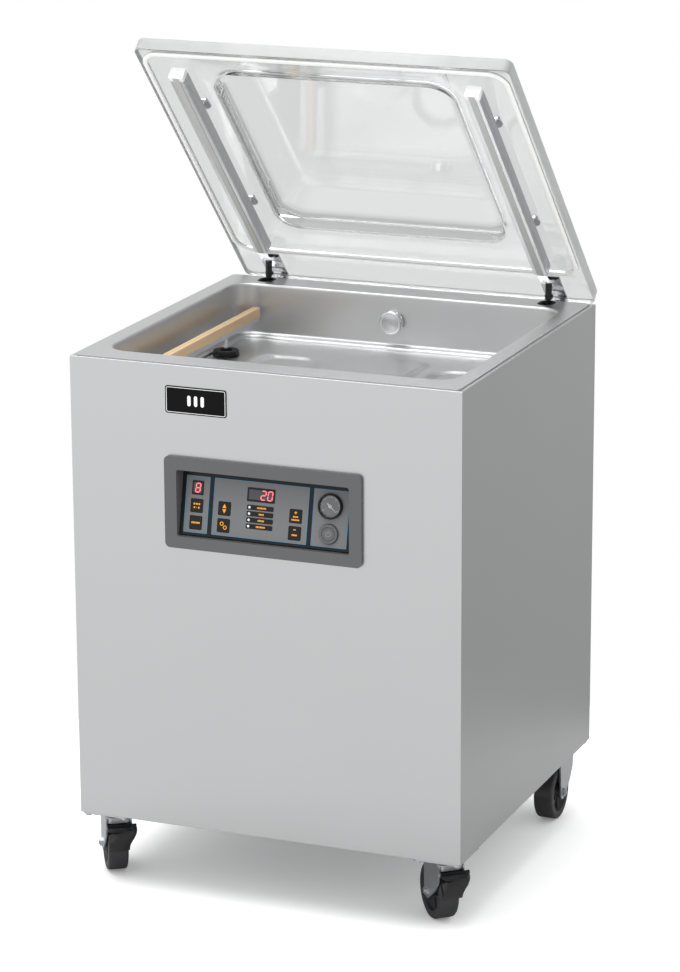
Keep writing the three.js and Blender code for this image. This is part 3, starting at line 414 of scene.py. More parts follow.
def chamber_tub():
    def ring(grow, z, radius):
        return loop(OPENING_SIDE + grow, OPENING_FRONT - grow, OPENING_BACK + grow, radius, z, 56)

    rings = []
    for inward, drop in arc(0, -LIP, LIP, 90, 0, 7):
        rings.append(ring(LIP - inward, RIM_TOP + drop, OPENING_CORNER + LIP - inward))
    ledge_top = FLOOR + COVE
    for i in range(1, WALL_STEPS + 1):
        share = i / WALL_STEPS
        z = RIM_TOP - LIP + (ledge_top - RIM_TOP + LIP) * share
        rings.append(ring(-WALL_TAPER * share, z, OPENING_CORNER - WALL_TAPER * share))
    ledge = arc(-BEND, 0, BEND, 0, -90, 5)[1:] + [
        (-0.0110, -0.0048), (-0.0132, -0.0054), (-0.0148, -0.0072), (-0.0160, -0.0100), (-0.0180, -COVE)]
    for out, down in ledge:
        grow = out - WALL_TAPER
        rings.append(ring(grow, ledge_top + down, OPENING_CORNER + grow))
    edge = ledge[-1][0] - WALL_TAPER
    for i in range(1, FLOOR_RINGS + 1):
        inset = edge - i * FLOOR_STEP
        rings.append([
            (x, y, floor_height(x, y))
            for x, y, _ in ring(inset, FLOOR, max(OPENING_CORNER + inset, 0.004))
        ])
    tub = show("chamber_tub_drawn", skin(rings, high_cap=True),
               "cabinet", "satin_steel", material=TUB_STEEL)
    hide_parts("chamber_tub")


def chamber_rim():
    """The flat rim round the opening, with slots for the gas springs, and a grommet in each slot."""
    low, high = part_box("chamber_tub")
    outer = [(x, y) for x, y, _ in loop(high.x, low.y, high.y, 0.006, 0, 1)]
    inner = [
        (x, y) for x, y, _ in
        loop(OPENING_SIDE + LIP, OPENING_FRONT - LIP, OPENING_BACK + LIP, OPENING_CORNER + LIP, 0, 56)
    ]
    slots = [rounded(0.026, 0.036, 0.0129, x, GROMMET_Y) for x in (-GROMMET_X, GROMMET_X)]
    thickness = 0.002
    sheet = slab([outer, inner, *slots], thickness)
    show("chamber_rim", sheet, "cabinet", "satin_steel", at(0, 0, RIM_TOP - thickness), TUB_STEEL)
    neck_depth = 0.006
    for hand, x in (("left", -GROMMET_X), ("right", GROMMET_X)):
        hole = rounded(0.020, 0.030, 0.0099)
        flange = slab([rounded(0.030, 0.040, 0.0149), hole], 0.0007, 0.0003)
        neck = slab([rounded(0.0256, 0.0356, 0.0127), hole], neck_depth)
        neck.transform(at(0, 0, -neck_depth))
        show(f"grommet_{hand}", joined(flange, neck), "cabinet", "black_rubber",
             at(x, GROMMET_Y, RIM_TOP - 0.0005))


def suction_cap():
    """A round nut with a milled rim and a polished face on the chamber's back wall."""
    low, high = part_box("suction_cap")
    radius = (high.x - low.x) / 2
    depth = 0.014
    steps = 96
    profile = (
        [(0.0, depth), (radius - 0.0035, depth)]
        + arc(radius - 0.003, depth - 0.003, 0.003, 90, 0, 5)
        + [(radius, 0.0095), (radius, 0.0090), (radius, 0.0035), (radius, 0.0030), (radius, 0.001),
           (radius - 0.001, 0.0), (0.015, 0.0)]
    )
    rings = []
    for r, h in profile:
        milled = 0.0031 < h < 0.0094 and r > radius - 0.0001
        ring = []
        for i in range(steps):
            inner = r - 0.0016 if milled and i % 8 in (0, 1, 2) else r
            angle = 2 * math.pi * i / steps
            ring.append((inner * math.cos(angle), inner * math.sin(angle), h))
        rings.append(ring)
    centre = ((low.x + high.x) / 2, low.y + depth, (low.z + high.z) / 2)
    cap = show("suction_cap_milled", skin(rings), "cabinet", "polished_steel", at(*centre) @ FORWARD)
    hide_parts("suction_cap")
    face = lathe([(0, 0), (radius - 0.005, 0), (radius - 0.0055, 0.0003), (0, 0.0003)], 64)
    show("suction_cap_face", face, "cabinet", "zinc", at(centre[0], low.y, centre[2]) @ FORWARD)


# ---- seal bars ----
def seal_bar(hand):
    """Tape over the bar's top and upper sides, the heating wire under it and clamps at the ends."""
    low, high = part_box(f"seal_bar_{hand}")
    middle_x = (low.x + high.x) / 2
    half = (high.x - low.x) / 2 + 0.0004
    tape_low, tape_top = high.z - 0.0165, high.z + 0.0004
    corner = 0.0014
    wire = arc(0, tape_top - 0.0006, 0.0016, 150, 30, 6)
    section = (
        [(-half, tape_low), (-half, tape_top - corner)]
        + arc(-half + corner, tape_top - corner, corner, 180, 90, 4)[1:]
        + wire
        + arc(half - corner, tape_top - corner, corner, 90, 0, 4)
        + [(half, tape_low), (half - 0.0005, tape_low), (0.0, tape_top - 0.003), (-half + 0.0005, tape_low)]
    )
    rings = []
    ends = (low.y + 0.0012, high.y - 0.0012)
    steps = 40
    for i in range(steps + 1):
        y = ends[0] + (ends[1] - ends[0]) * i / steps
        rings.append([(middle_x + x, y, z) for x, z in section])
    tape = skin(rings, low_cap=True, high_cap=True)
    show(f"seal_tape_{hand}", tape, f"seal_bar_{hand}", "white_silicone", material=TAPE)
    for end, y, turn in (("front", low.y, FORWARD), ("back", high.y, BACKWARD)):
        clamp = slab([rounded(0.010, 0.009, 0.0015)], 0.0012, 0.0003)
        show(f"seal_clamp_{hand}_{end}", clamp, f"seal_bar_{hand}", "polished_steel",
             at(middle_x, y, high.z - 0.008) @ turn)


def lift_collar(hand, place):
    """A black collar with a rounded rim and a recess round the rod."""
    name = f"lift_cylinder_{hand}_{place}"
    low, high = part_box(name)
    radius, height = 0.0235, 0.0105
    profile = (
        [(0.0048, 0.0), (radius - 0.002, 0.0), (radius, 0.002), (radius, 0.0078)]
        + arc(radius - 0.0027, 0.0078, 0.0027, 0, 90, 5)[1:]
        + [(0.0125, height), (0.0115, 0.0098), (0.0105, 0.006), (0.0062, 0.0055), (0.0048, 0.0048)]
    )
    centre = ((low.x + high.x) / 2, (low.y + high.y) / 2, high.z - height)
    collar = show(f"lift_collar_{hand}_{place}", lathe(profile, 64),
                  "cabinet", "black_plastic", at(*centre))
    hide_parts(name)


# ---- lid ----
LID_LOW, LID_HIGH = closed_box("lid")
LID_UNDER = LID_LOW.z
LID_THICKNESS = 0.025
LID_TOP = LID_UNDER + LID_THICKNESS
GASKET_LOW, GASKET_HIGH = closed_box("lid_gasket")
GASKET_WIDTH = 0.009
GASKET_GROOVE = 0.006
DOME_SIDE = 0.216
DOME_FRONT = MIDDLE - 0.243
DOME_BACK = MIDDLE + 0.200
DOME_CORNER = 0.042
DOME_HEIGHT = 0.066
DOME_WALL = 0.010
DOME_SLANT = math.radians(33)  # of its walls from upright
DOME_CREASE = 0.015


def dome_ring(inset, z, corner=0.0):
    return loop(DOME_SIDE - inset, DOME_FRONT + inset, DOME_BACK - inset,
                max(DOME_CORNER + corner - 0.35 * inset, 0.012), z, 30, 14)


def gasket_ring(grow, z):
    """A ring inside the gasket's outer edge by its width, grown outwards."""
    inward = GASKET_WIDTH - grow
    return loop(GASKET_HIGH.x - inward, GASKET_LOW.y + inward, GASKET_HIGH.y - inward,
                0.026 + grow, z, 30, 14)


def edge_ring(z, inset=0.0):
    return loop(LID_HIGH.x - inset, LID_LOW.y + inset, LID_HIGH.y - inset, 0.014 - inset, z, 30, 14)


def dome_profile(offset):
    """(inset, height) up the dome's wall and round its crease, moved outwards by the offset."""
    start = 0.006
    crease_low = DOME_HEIGHT - DOME_CREASE * (1 - math.sin(DOME_SLANT))
    crease_x = (crease_low - start) * math.tan(DOME_SLANT) + DOME_CREASE * math.cos(DOME_SLANT)
    points = []
    steps = 6
    for i in range(steps):
        height = start + (crease_low - start) * i / steps
        inset = (height - start) * math.tan(DOME_SLANT)
        points.append((inset - offset * math.cos(DOME_SLANT), height + offset * math.sin(DOME_SLANT)))
    for i in range(9):
        angle = DOME_SLANT + (math.pi / 2 - DOME_SLANT) * i / 8
        reach = DOME_CREASE + offset
        points.append((crease_x - reach * math.cos(angle),
                       DOME_HEIGHT - DOME_CREASE + reach * math.sin(angle)))
    return points


def lid_acrylic():
    mouth = 0.006
    flat = (0.07, 0.11, 0.15)
    rings = [dome_ring(inset, LID_UNDER + DOME_HEIGHT) for inset in reversed(flat)]
    rings += [dome_ring(inset, LID_UNDER + height) for inset, height in reversed(dome_profile(0))]
    rings += [dome_ring(-out, LID_UNDER + up) for out, up in arc(mouth, mouth, mouth, 180, 270, 5)[1:]]
    gap = 0.0003
    rings += [
        gasket_ring(-gap, LID_UNDER),
        gasket_ring(-gap, LID_UNDER + GASKET_GROOVE),
        gasket_ring(GASKET_WIDTH + gap, LID_UNDER + GASKET_GROOVE),
        gasket_ring(GASKET_WIDTH + gap, LID_UNDER),
    ]
    low_round, high_round = 0.0016, 0.0034
    rings += [
        edge_ring(LID_UNDER + low_round + up, low_round - out)
        for out, up in arc(0, 0, low_round, -90, 0, 4)
    ]
    rings += [
        edge_ring(LID_TOP - high_round + up, high_round - out)
        for out, up in arc(0, 0, high_round, 0, 90, 5)
    ]
    outer = [(inset, height) for inset, height in dome_profile(DOME_WALL) if height > LID_THICKNESS + 0.009]
    foot_x = outer[0][0] - (outer[0][1] - LID_THICKNESS - 0.005) * math.tan(DOME_SLANT)
    rings += [
        dome_ring(foot_x - 0.012, LID_TOP, DOME_WALL / 2),
        dome_ring(foot_x - 0.006, LID_TOP + 0.0012, DOME_WALL / 2),
        dome_ring(foot_x, LID_TOP + 0.005, DOME_WALL / 2),
    ]
    rings += [dome_ring(inset, LID_UNDER + height, DOME_WALL / 2) for inset, height in outer]
    rings += [dome_ring(inset, LID_UNDER + DOME_HEIGHT + DOME_WALL, DOME_WALL / 2) for inset in flat]
    mesh = skin(rings, low_cap=True, high_cap=True)
    lid = show("lid_acrylic", mesh, "lid", "clear_acrylic", smooth_deg=50)
    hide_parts("lid")
    mesh.materials.append(SAWN_ACRYLIC)
    for face in mesh.polygons:
        upright = abs(face.normal.z) < 0.9
        outside = abs(face.center.x) > LID_HIGH.x - 0.006
        outside = outside or not LID_LOW.y + 0.006 < face.center.y < LID_HIGH.y - 0.006
        face.material_index = 1 if upright and outside else 0
    mesh.transform(OPENED)


def gasket():
    low, high = GASKET_LOW.z, LID_UNDER + GASKET_GROOVE - 0.0003
    width, round_ = GASKET_WIDTH, 0.003
    section = [(0, high), (0, low + round_)]
    section += arc(round_, low + round_, round_, 180, 270, 5)[1:]
    section += arc(width - round_, low + round_, round_, 270, 360, 5)
    section += [(width, high)]
    rings = [gasket_ring(grow, z) for grow, z in section]
    seal = show("gasket_moulded", skin(rings, endless=True), "lid", "white_silicone", OPENED)
    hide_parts("lid_gasket")


def counter_bar(hand):
    """An extruded bar with a groove along each side, a silicone strip and white end caps."""
    low, high = closed_box(f"counter_bar_{hand}")
    middle, half = (low.x + high.x) / 2, (high.x - low.x) / 2
    groove, bite = 0.0075, 0.0015
    left = [(-half, high.z), (-half, low.z + groove + bite), (-half + bite, low.z + groove),
            (-half, low.z + groove - bite), (-half, low.z + 0.0015), (-half + 0.0015, low.z),
            (-0.006, low.z), (-0.006, low.z + 0.005)]
    section = left + [(-x, z) for x, z in reversed(left)]
    cap, front_cap = 0.0016, 0.010
    rings = [
        [(middle + x, y, z) for x, z in section]
        for y in (low.y + front_cap, (low.y + high.y) / 2, high.y - cap)
    ]
    bar = show(f"counter_bar_{hand}_extruded", skin(rings, low_cap=True, high_cap=True),
               "lid", "aluminium", OPENED, smooth_deg=20)
    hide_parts(f"counter_bar_{hand}")
    reach, top = 0.0057, low.z + 0.0048
    round_strip = [(-reach, top), *arc(0, low.z + 0.0002, reach, 180, 360, 8), (reach, top)]
    flat = [(x, max(z, low.z - 0.0008)) for x, z in round_strip]
    rings = [[(middle + x, y, z) for x, z in flat] for y in (low.y + cap, high.y - cap)]
    show(f"seal_strip_{hand}", skin(rings, low_cap=True, high_cap=True),
         "lid", "white_silicone", OPENED, material=STRIP_SILICONE)
    for end, y, depth in (("front", low.y, front_cap), ("back", high.y - cap, cap)):
        plate = slab([rounded(2 * half, high.z - low.z, 0.002)], depth, 0.0003)
        place = at(middle, y + depth, (low.z + high.z) / 2) @ FORWARD
        show(f"bar_cap_{hand}_{end}", plate, "lid", "white_silicone", OPENED @ place)
    screw_x = middle + 0.005
    for place, y in (("front", MIDDLE - 0.143), ("back", MIDDLE + 0.143)):
        shank = lathe([(0, high.z), (0.0035, high.z), (0.0035, LID_TOP), (0, LID_TOP)], 20)
        show(f"bar_screw_{hand}_{place}", shank, "lid", "polished_steel", OPENED @ at(screw_x, y, 0))
        washer = lathe([(0, 0), (0.013, 0), (0.013, 0.0012), (0.0125, 0.0016), (0, 0.0016)], 40)
        nut = lathe([(0, 0.0016), (0.0075, 0.0016), (0.0075, 0.007)], 6)
        dome = lathe([(0.0070, 0.0062), (0.0062, 0.0075)] + arc(0, 0.0075, 0.0060, 0, 90, 6), 32)
        show(f"cap_nut_{hand}_{place}", joined(washer, nut, dome), "lid", "zinc",
             OPENED @ at(screw_x, y, LID_TOP + 0.0001))


def hinge_details(hand):
    """A grooved barrel round the pin, screws in the strap and a collar on the gas spring's rod."""
    low, high = closed_box(f"hinge_arm_{hand}")
    middle = (low.x + high.x) / 2
    half, radius, groove = 0.0096, 0.0092, 0.0007
    profile = [(0.0034, -half), (radius - groove, -half), (radius, -half + groove)]
    for start in (-0.0045, 0.0025):
        profile += [(radius, start), (radius - groove, start + groove),
                    (radius - groove, start + 0.0020 - groove), (radius, start + 0.0020)]
    profile += [(radius, half - groove), (radius - groove, half), (0.0034, half), (0.0034, -half)]
    show(f"hinge_barrel_{hand}", lathe(profile), "lid", "polished_steel",
         at(middle, LID_PIVOT.y, LID_PIVOT.z) @ SIDEWAYS)
    for side, x in (("inner", middle - 0.011), ("outer", middle + 0.011)):
        head = lathe([(0, 0), (0.0042, 0), (0.0040, 0.0002), (0.0020, 0.0002), (0.0018, -0.001),
                      (0, -0.001)], 24)
        show(f"strap_screw_{hand}_{side}", head, "lid", "zinc",
             OPENED @ at(x, low.y + 0.018, RIM_TOP + 0.0006) @ DOWNWARD)
    rod_low, rod_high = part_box(f"gas_rod_{hand}")
    collar = lathe([(0, -0.0030), (0.0072, -0.0030), (0.0078, -0.0020), (0.0078, 0.0020), (0.0072, 0.0030),
                    (0, 0.0030)], 28)
    centre = ((rod_low.x + rod_high.x) / 2, (rod_low.y + rod_high.y) / 2 + 0.004, rod_high.z - 0.024)
    show(f"rod_collar_{hand}", collar, f"gas_rod_{hand}", "black_steel", at(*centre))


# ---- control panel ----
PANEL_TILT = math.acos(JOINTS["key_plus_press"]["axis"][1])
NEEDLE = Vector(JOINTS["gauge_needle_turn"]["pos_m"])
GAUGE_X, GAUGE_Z = 0.114, 0.016
BUTTON_Z = -0.030
PANEL_TURN = Matrix.Rotation(-PANEL_TILT, 4, "X") @ FORWARD
# On the panel: x across, y up the plate, z out of its face.
PANEL = at(*NEEDLE) @ PANEL_TURN @ at(-GAUGE_X, -GAUGE_Z, 0)
STRIP_X = -0.0111
STRIP_ROWS = (0.0004, -0.0102, -0.0207, -0.0313)
FIELDS = {"program": (-0.1475, -0.1045), "process": (-0.0965, 0.0748), "power": (0.0828, 0.1465)}
FIELD_TOP, FIELD_LOW = 0.0435, -0.0521
INK = 0.0001  # thickness of anything printed
DIAL_FACE = 0.0022
BUTTON_FACE = 0.0044


def on_panel(name, mesh, slot, x=0.0, y=0.0, out=0.0, body="cabinet", material=None):
    return show(name, mesh, body, slot, PANEL @ at(x, y, out), material)


KEYS = ("key_program", "key_cursor", "key_up_down", "key_select", "key_plus", "key_minus")


def panel_fields():
    """Three grey fields in blue outlines on the black plate, cut out round the keys and the gauge."""
    holes = []
    for key in KEYS:
        low, high = box_in(PANEL, key)
        centre = (low + high) / 2
        holes.append(rounded(high.x - low.x + 0.001, high.y - low.y + 0.001, 0.0022, centre.x, centre.y))
    holes.append(arc(GAUGE_X, GAUGE_Z, 0.0205, 0, 352.5, 47))
    holes.append(arc(GAUGE_X, BUTTON_Z, 0.0172, 0, 352.5, 47))
    for name, (left, right) in FIELDS.items():
        centre = ((left + right) / 2, (FIELD_TOP + FIELD_LOW) / 2)
        size = (right - left, FIELD_TOP - FIELD_LOW)
        inside = [hole for hole in holes if left < hole[0][0] < right]
        field = slab([rounded(*size, 0.0015, *centre), *inside], 0.0002)
        on_panel(f"panel_field_{name}", field, "grey_plastic", out=0.0001, material=PANEL_GREY)
        line = 0.0007
        inner = rounded(size[0] - 2 * line, size[1] - 2 * line, 0.0008, *centre)
        frame_line = slab([rounded(*size, 0.0015, *centre), inner], INK)
        on_panel(f"panel_outline_{name}", frame_line, "grey_plastic", out=0.0003, material=INK_BLUE)


SEGMENTS = {"0": "abcdef", "2": "abged", "8": "abcdefg"}
DIGIT_LEAN = 0.10


def digit_mesh(digit, width, height):
    """A seven-segment digit, leaning a little to the right."""
    bar = width * 0.20
    half_w, half_h = width / 2, height / 2
    lie = {"a": half_h, "g": 0.0, "d": -half_h}
    stand = {"b": (half_w, half_h / 2), "c": (half_w, -half_h / 2),
             "e": (-half_w, -half_h / 2), "f": (-half_w, half_h / 2)}
    parts = []
    for segment in SEGMENTS[digit]:
        if segment in lie:
            shape, centre = (width - bar * 0.6, bar), (0, lie[segment])
        else:
            shape, centre = (bar, half_h - bar * 0.6), stand[segment]
        w, h = shape[0] / 2, shape[1] / 2
        nip = min(w, h)
        if w > h:
            outline = [(-w, 0), (-w + nip, -h), (w - nip, -h), (w, 0), (w - nip, h), (-w + nip, h)]
        else:
            outline = [(0, -h), (w, -h + nip), (w, h - nip), (0, h), (-w, h - nip), (-w, -h + nip)]
        outline = [(centre[0] + x + DIGIT_LEAN * (centre[1] + y), centre[1] + y) for x, y in outline]
        parts.append(slab([outline], INK))
    return joined(*parts)


def display(name, x, y, width, height, digits):
    bezel = slab([rounded(width, height, 0.0015)], 0.0006, 0.0001)
    on_panel(f"{name}_frame", bezel, "black_plastic", x, y, 0.0003)
    window = slab([rounded(width - 0.006, height - 0.007, 0.0006)], 0.0002)
    on_panel(f"{name}_window", window, "black_plastic", x, y, 0.0008, material=SMOKED)
    for i, (digit, offset) in enumerate(digits):
        on_panel(f"{name}_digit_{i}", digit_mesh(digit, 0.0078, 0.0148), "grey_plastic",
                 x + offset, y, 0.0011, material=LED_RED)


def bars(*rows):
    """Short bars, each (x, y, width, height), as one mesh."""
    return joined(*[slab([rounded(w, h, min(w, h) * 0.25, x, y, 2)], INK) for x, y, w, h in rows])


def row_of(count, start, step, y, width, height):
    """Like bars side by side, from a start towards +x."""
    return [(start + step * i, y, width, height) for i in range(count)]


def triangle(x, y, size, point):
    """A triangle that points up (1) or down (-1)."""
    half = size / 2
    return slab([[(x - half, y - point * half), (x + half, y - point * half), (x, y + point * half)]], INK)


def ring_mesh(x, y, outer, inner):
    """A flat ring."""
    return slab([arc(x, y, outer, 0, 350, 35), arc(x, y, inner, 0, 350, 35)], INK)


def key_icon(key):
    if key == "key_program":
        return bars(*row_of(3, -0.0045, 0.0045, 0.003, 0.0030, 0.0030),
                    (-0.004, -0.003, 0.0026, 0.003), (0, -0.003, 0.0012, 0.0012),
                    (0.004, -0.003, 0.0026, 0.003))
    if key == "key_cursor":
        return bars(*row_of(6, -0.0065, 0.0026, 0, 0.0019, 0.0030))
    if key == "key_up_down":
        return joined(triangle(0, 0.0045, 0.0068, 1), triangle(0, -0.0045, 0.0068, -1))
    if key == "key_select":
        return joined(ring_mesh(-0.003, 0.003, 0.0034, 0.0022), ring_mesh(0.0032, -0.003, 0.0034, 0.0022))
    if key == "key_plus":
        return bars((0, 0.006, 0.0046, 0.0015), (0, 0.006, 0.0015, 0.0046),
                    *row_of(4, -0.0036, 0.0024, -0.001, 0.0018, 0.0026),
                    *row_of(6, -0.0060, 0.0024, -0.0062, 0.0018, 0.0026))
    return bars((0, 0.006, 0.0046, 0.0015), *row_of(4, -0.0036, 0.0024, -0.003, 0.0018, 0.0028))


def key_marks():
    for key in KEYS:
        low, high = box_in(PANEL, key)
        centre = (low + high) / 2
        on_panel(f"{key}_icon", key_icon(key), "black_plastic",
                 centre.x, centre.y, high.z, key, AMBER_INK_PAINTED_GLOW)


def process_strips():
    widths = (0.016, 0.009, 0.011, 0.016)
    for i, (row, width) in enumerate(zip(STRIP_ROWS, widths)):
        strip = slab([rounded(0.048, 0.0082, 0.0018)], 0.0004, 0.0001)
        on_panel(f"process_strip_{i}", strip, "black_plastic", STRIP_X, row, 0.0003)
        pitch = 0.0024
        blocks = [(-width / 2 + pitch / 2 + pitch * j, 0, 0.0017, 0.0026 + 0.0006 * (j % 2))
                  for j in range(round(width / pitch))]
        on_panel(f"process_mark_{i}", bars(*blocks), "black_plastic",
                 STRIP_X + 0.002, row, 0.0007, material=AMBER_INK_PAINTED_GLOW)
        lamp = lathe([(0, 0), (0.0022, 0), (0.0020, 0.0006), (0.0012, 0.0011), (0, 0.0013)], 20)
        on_panel(f"process_lamp_{i}", lamp, "white_paint",
                 STRIP_X - 0.0195, row, 0.0006, material=INK_WHITE)


def vacuum_gauge():
    """A black rim, a grey dial with white graduations, a glass and a hub for the needle."""
    rim, dial = 0.0215, 0.0183
    profile = (
        [(0.0185, -0.012), (0.0185, 0.0003), (rim - 0.0006, 0.0003), (rim, 0.0010), (rim, 0.0050)]
        + arc(rim - 0.0018, 0.0048, 0.0018, 0, 90, 5)[1:]
        + [(dial + 0.0006, 0.0064), (dial, 0.0058), (dial, DIAL_FACE)]
    )
    body = on_panel("gauge_rim", lathe(profile, 72), "black_plastic", GAUGE_X, GAUGE_Z)
    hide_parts("vacuum_gauge")
    plate = lathe([(0, 0.0018), (dial + 0.0003, 0.0018), (dial + 0.0003, DIAL_FACE), (0, DIAL_FACE)], 64)
    on_panel("gauge_dial", plate, "white_paint", GAUGE_X, GAUGE_Z, material=DIAL_GREY)
    marks = []
    for i in range(25):
        angle = math.radians(-30 + 10 * i)
        long_mark = i % 4 == 0
        length = 0.0036 if long_mark else 0.0020
        mark = slab([rounded(length, 0.0007 if long_mark else 0.0004, 0.0001)], INK)
        mark.transform(Matrix.Rotation(angle, 4, "Z") @ at(dial - 0.0016 - length / 2, 0, 0))
        marks.append(mark)
    on_panel("gauge_marks", joined(*marks), "white_paint",
             GAUGE_X, GAUGE_Z, DIAL_FACE, material=INK_WHITE)
    glass = lathe([(0, 0.0053), (dial, 0.0053), (dial, 0.0058), (0, 0.0061)], 64)
    on_panel("gauge_glass", glass, "clear_acrylic", GAUGE_X, GAUGE_Z, material=GAUGE_GLASS)
    hub = lathe([(0, DIAL_FACE), (0.0014, DIAL_FACE), (0.0014, 0.0044), (0.0010, 0.0047), (0, 0.0047)], 24)
    on_panel("gauge_hub", hub, "polished_steel", GAUGE_X, GAUGE_Z)
    on_panel("gauge_zero_screw", screw_head(0.0012, 0.0005), "polished_steel",
             GAUGE_X - 0.0132, GAUGE_Z - 0.0062, DIAL_FACE)


def power_button():
    """A round button with a grooved ring and a power symbol."""
    radius = 0.0165
    profile = (
        [(0, -0.009), (radius, -0.009), (radius, 0.0028)]
        + arc(radius - 0.0014, 0.0030, 0.0014, 0, 90, 5)[1:]
        + [(0.0122, BUTTON_FACE), (0.0116, 0.0034), (0.0110, 0.0034), (0.0104, 0.0042), (0, 0.0045)]
    )
    button = on_panel("power_button_turned", lathe(profile, 64), "grey_plastic",
                      GAUGE_X, BUTTON_Z, body="power_button")
    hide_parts("power_button")
    outer, inner = arc(0, 0, 0.0050, 125, 415, 30), arc(0, 0, 0.0040, 415, 125, 30)
    symbol = joined(slab([outer + inner], INK), slab([rounded(0.0011, 0.0060, 0.0004, 0, 0.0030)], INK))
    on_panel("power_symbol", symbol, "grey_plastic",
             GAUGE_X, BUTTON_Z, BUTTON_FACE, "power_button", DIAL_GREY)


# ---- cabinet details ----
def badge():
    """A black plate with a thin white border and no lettering."""
    width, height = 0.111, 0.047
    thickness, outer, inner = 0.0010, 0.004, 0.0058
    place = at(-0.1195, FRONT - 0.0001, 0.8815) @ FORWARD
    face = place @ at(0, 0, thickness)
    plate = slab([rounded(width, height, 0.004)], thickness, 0.0003)
    show("badge_plate", plate, "cabinet", "black_plastic", place, BADGE_BLACK)
    border = slab([rounded(width - outer, height - outer, 0.0030),
                   rounded(width - inner, height - inner, 0.0022)], INK)
    show("badge_border", border, "cabinet", "white_paint", face, INK_WHITE)
    for i, x in enumerate((-0.012, 0.0, 0.012)):
        bar = slab([rounded(0.006, 0.018, 0.003, x, 0)], INK)
        show(f"badge_bar_{i}", bar, "cabinet", "white_paint", face, INK_WHITE)


def rear_details():
    """Screws round the rear panel, a blank plate and the inlet's pins."""
    height = CABINET_HIGH.z - UNDER
    for side in (-1, 1):
        for row in range(5):
            z = UNDER + 0.04 + (height - 0.08) * row / 4
            name = f"rear_screw_{'left' if side < 0 else 'right'}_{row}"
            show(name, screw_head(0.0042, 0.0024), "cabinet", "polished_steel",
                 at(side * 0.336, REAR, z) @ BACKWARD)
    plate = slab([rounded(0.120, 0.070, 0.004)], 0.0008, 0.0002)
    show("rear_plate", plate, "cabinet", "aluminium", at(0.12, REAR, 0.56) @ BACKWARD)
    low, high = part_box("mains_inlet")
    centre = (low + high) / 2
    for i, (x, z) in enumerate(((-0.010, -0.002), (0.0, 0.002), (0.010, -0.002))):
        pin = slab([rounded(0.0022, 0.0060, 0.0005)], 0.0130, 0.0003)
        show(f"inlet_pin_{i}", pin, "cabinet", "polished_steel",
             at(centre.x + x, high.y - 0.018, centre.z + z) @ BACKWARD, material=BRASS)


def base_bolts():
    """Hexagon bolts through each caster's plate."""
    for place in ("front_left", "front_right", "back_left", "back_right"):
        low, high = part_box(f"caster_plate_{place}")
        centre = (low + high) / 2
        plate_low = high.z - 0.003
        for i, (x, y) in enumerate(((-0.034, -0.041), (0.034, -0.041), (0.034, 0.041), (-0.034, 0.041))):
            show(f"caster_bolt_{place}_{i}", hex_head(0.0055, 0.0045), "cabinet", "zinc",
                 at(centre.x + x, centre.y + y, plate_low) @ DOWNWARD)


# ---- casters ----
def axle_place(place):
    """A matrix that stands Z along the wheel's axle, at its middle."""
    joint = JOINTS[f"wheel_{place}"]
    turn = Vector((0, 0, 1)).rotation_difference(Vector(joint["axis"]))
    return at(*joint["pos_m"]) @ turn.to_matrix().to_4x4()


def wheel(place):
    """A moulded tyre with rounded shoulders, a dished hub and a bearing."""
    half, radius, shoulder, dish = 0.0176, 0.0496, 0.0045, 0.0045
    side = (
        [(0.0044, half + 0.001), (0.0100, half + 0.001), (0.0112, half), (0.0120, half - 0.0055)]
        + arc(0.0160, half - dish, 0.0035, 200, 270, 4)
        + arc(0.0310, half - dish, 0.0035, 270, 340, 4)
        + [(0.0362, half - 0.0004), (0.0370, half), (radius - shoulder, half)]
        + arc(radius - shoulder, half - shoulder, shoulder, 90, 15, 6)
        + [(radius, half - 0.008)]
    )
    profile = side + [(radius, 0.0)] + [(r, -h) for r, h in reversed(side)]
    profile.append(side[0])
    body, axle = f"caster_wheel_{place}", axle_place(place)
    tyre = show(f"wheel_{place}_moulded", lathe(profile, 72), body, "wheel_rubber", axle)
    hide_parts(body)
    webs = []
    for i in range(6):
        web = slab([rounded(0.018, 0.003, 0.001)], 2 * (half - dish), 0.0005)
        web.transform(Matrix.Rotation(math.radians(60 * i), 4, "Z") @ at(0.0235, 0, -half + dish))
        webs.append(web)
    show(f"wheel_{place}_webs", joined(*webs), body, "wheel_rubber", axle)


HOOD_HALF = 0.0185  # half its width on the side without the ear
EAR_REACH = 0.0305
HOOD_LOW = 0.054
TOE_BAR_LEFT, TOE_BAR_RIGHT = -0.030, 0.021


def hood_point(u, v):
    """A point of the hood: u runs from -1 to 1 across it, v from 0 to 1 down it."""
    bulge = 0.0281 + 0.0085 * math.sin(math.pi * min(v * 0.9 + 0.1, 1))
    crown = 0.0045 * (1 - 0.6 * v)
    ear = EAR_REACH - 0.0125 * soft_step((v - 0.10) / 0.72)
    upper = 0.1010 - 0.019 * ((u + 1) / 2) ** 1.4 - 0.006 * max(-u, 0) ** 6
    return (ear if u < 0 else HOOD_HALF) * u, bulge - crown * u * u, upper + (HOOD_LOW - upper) * v


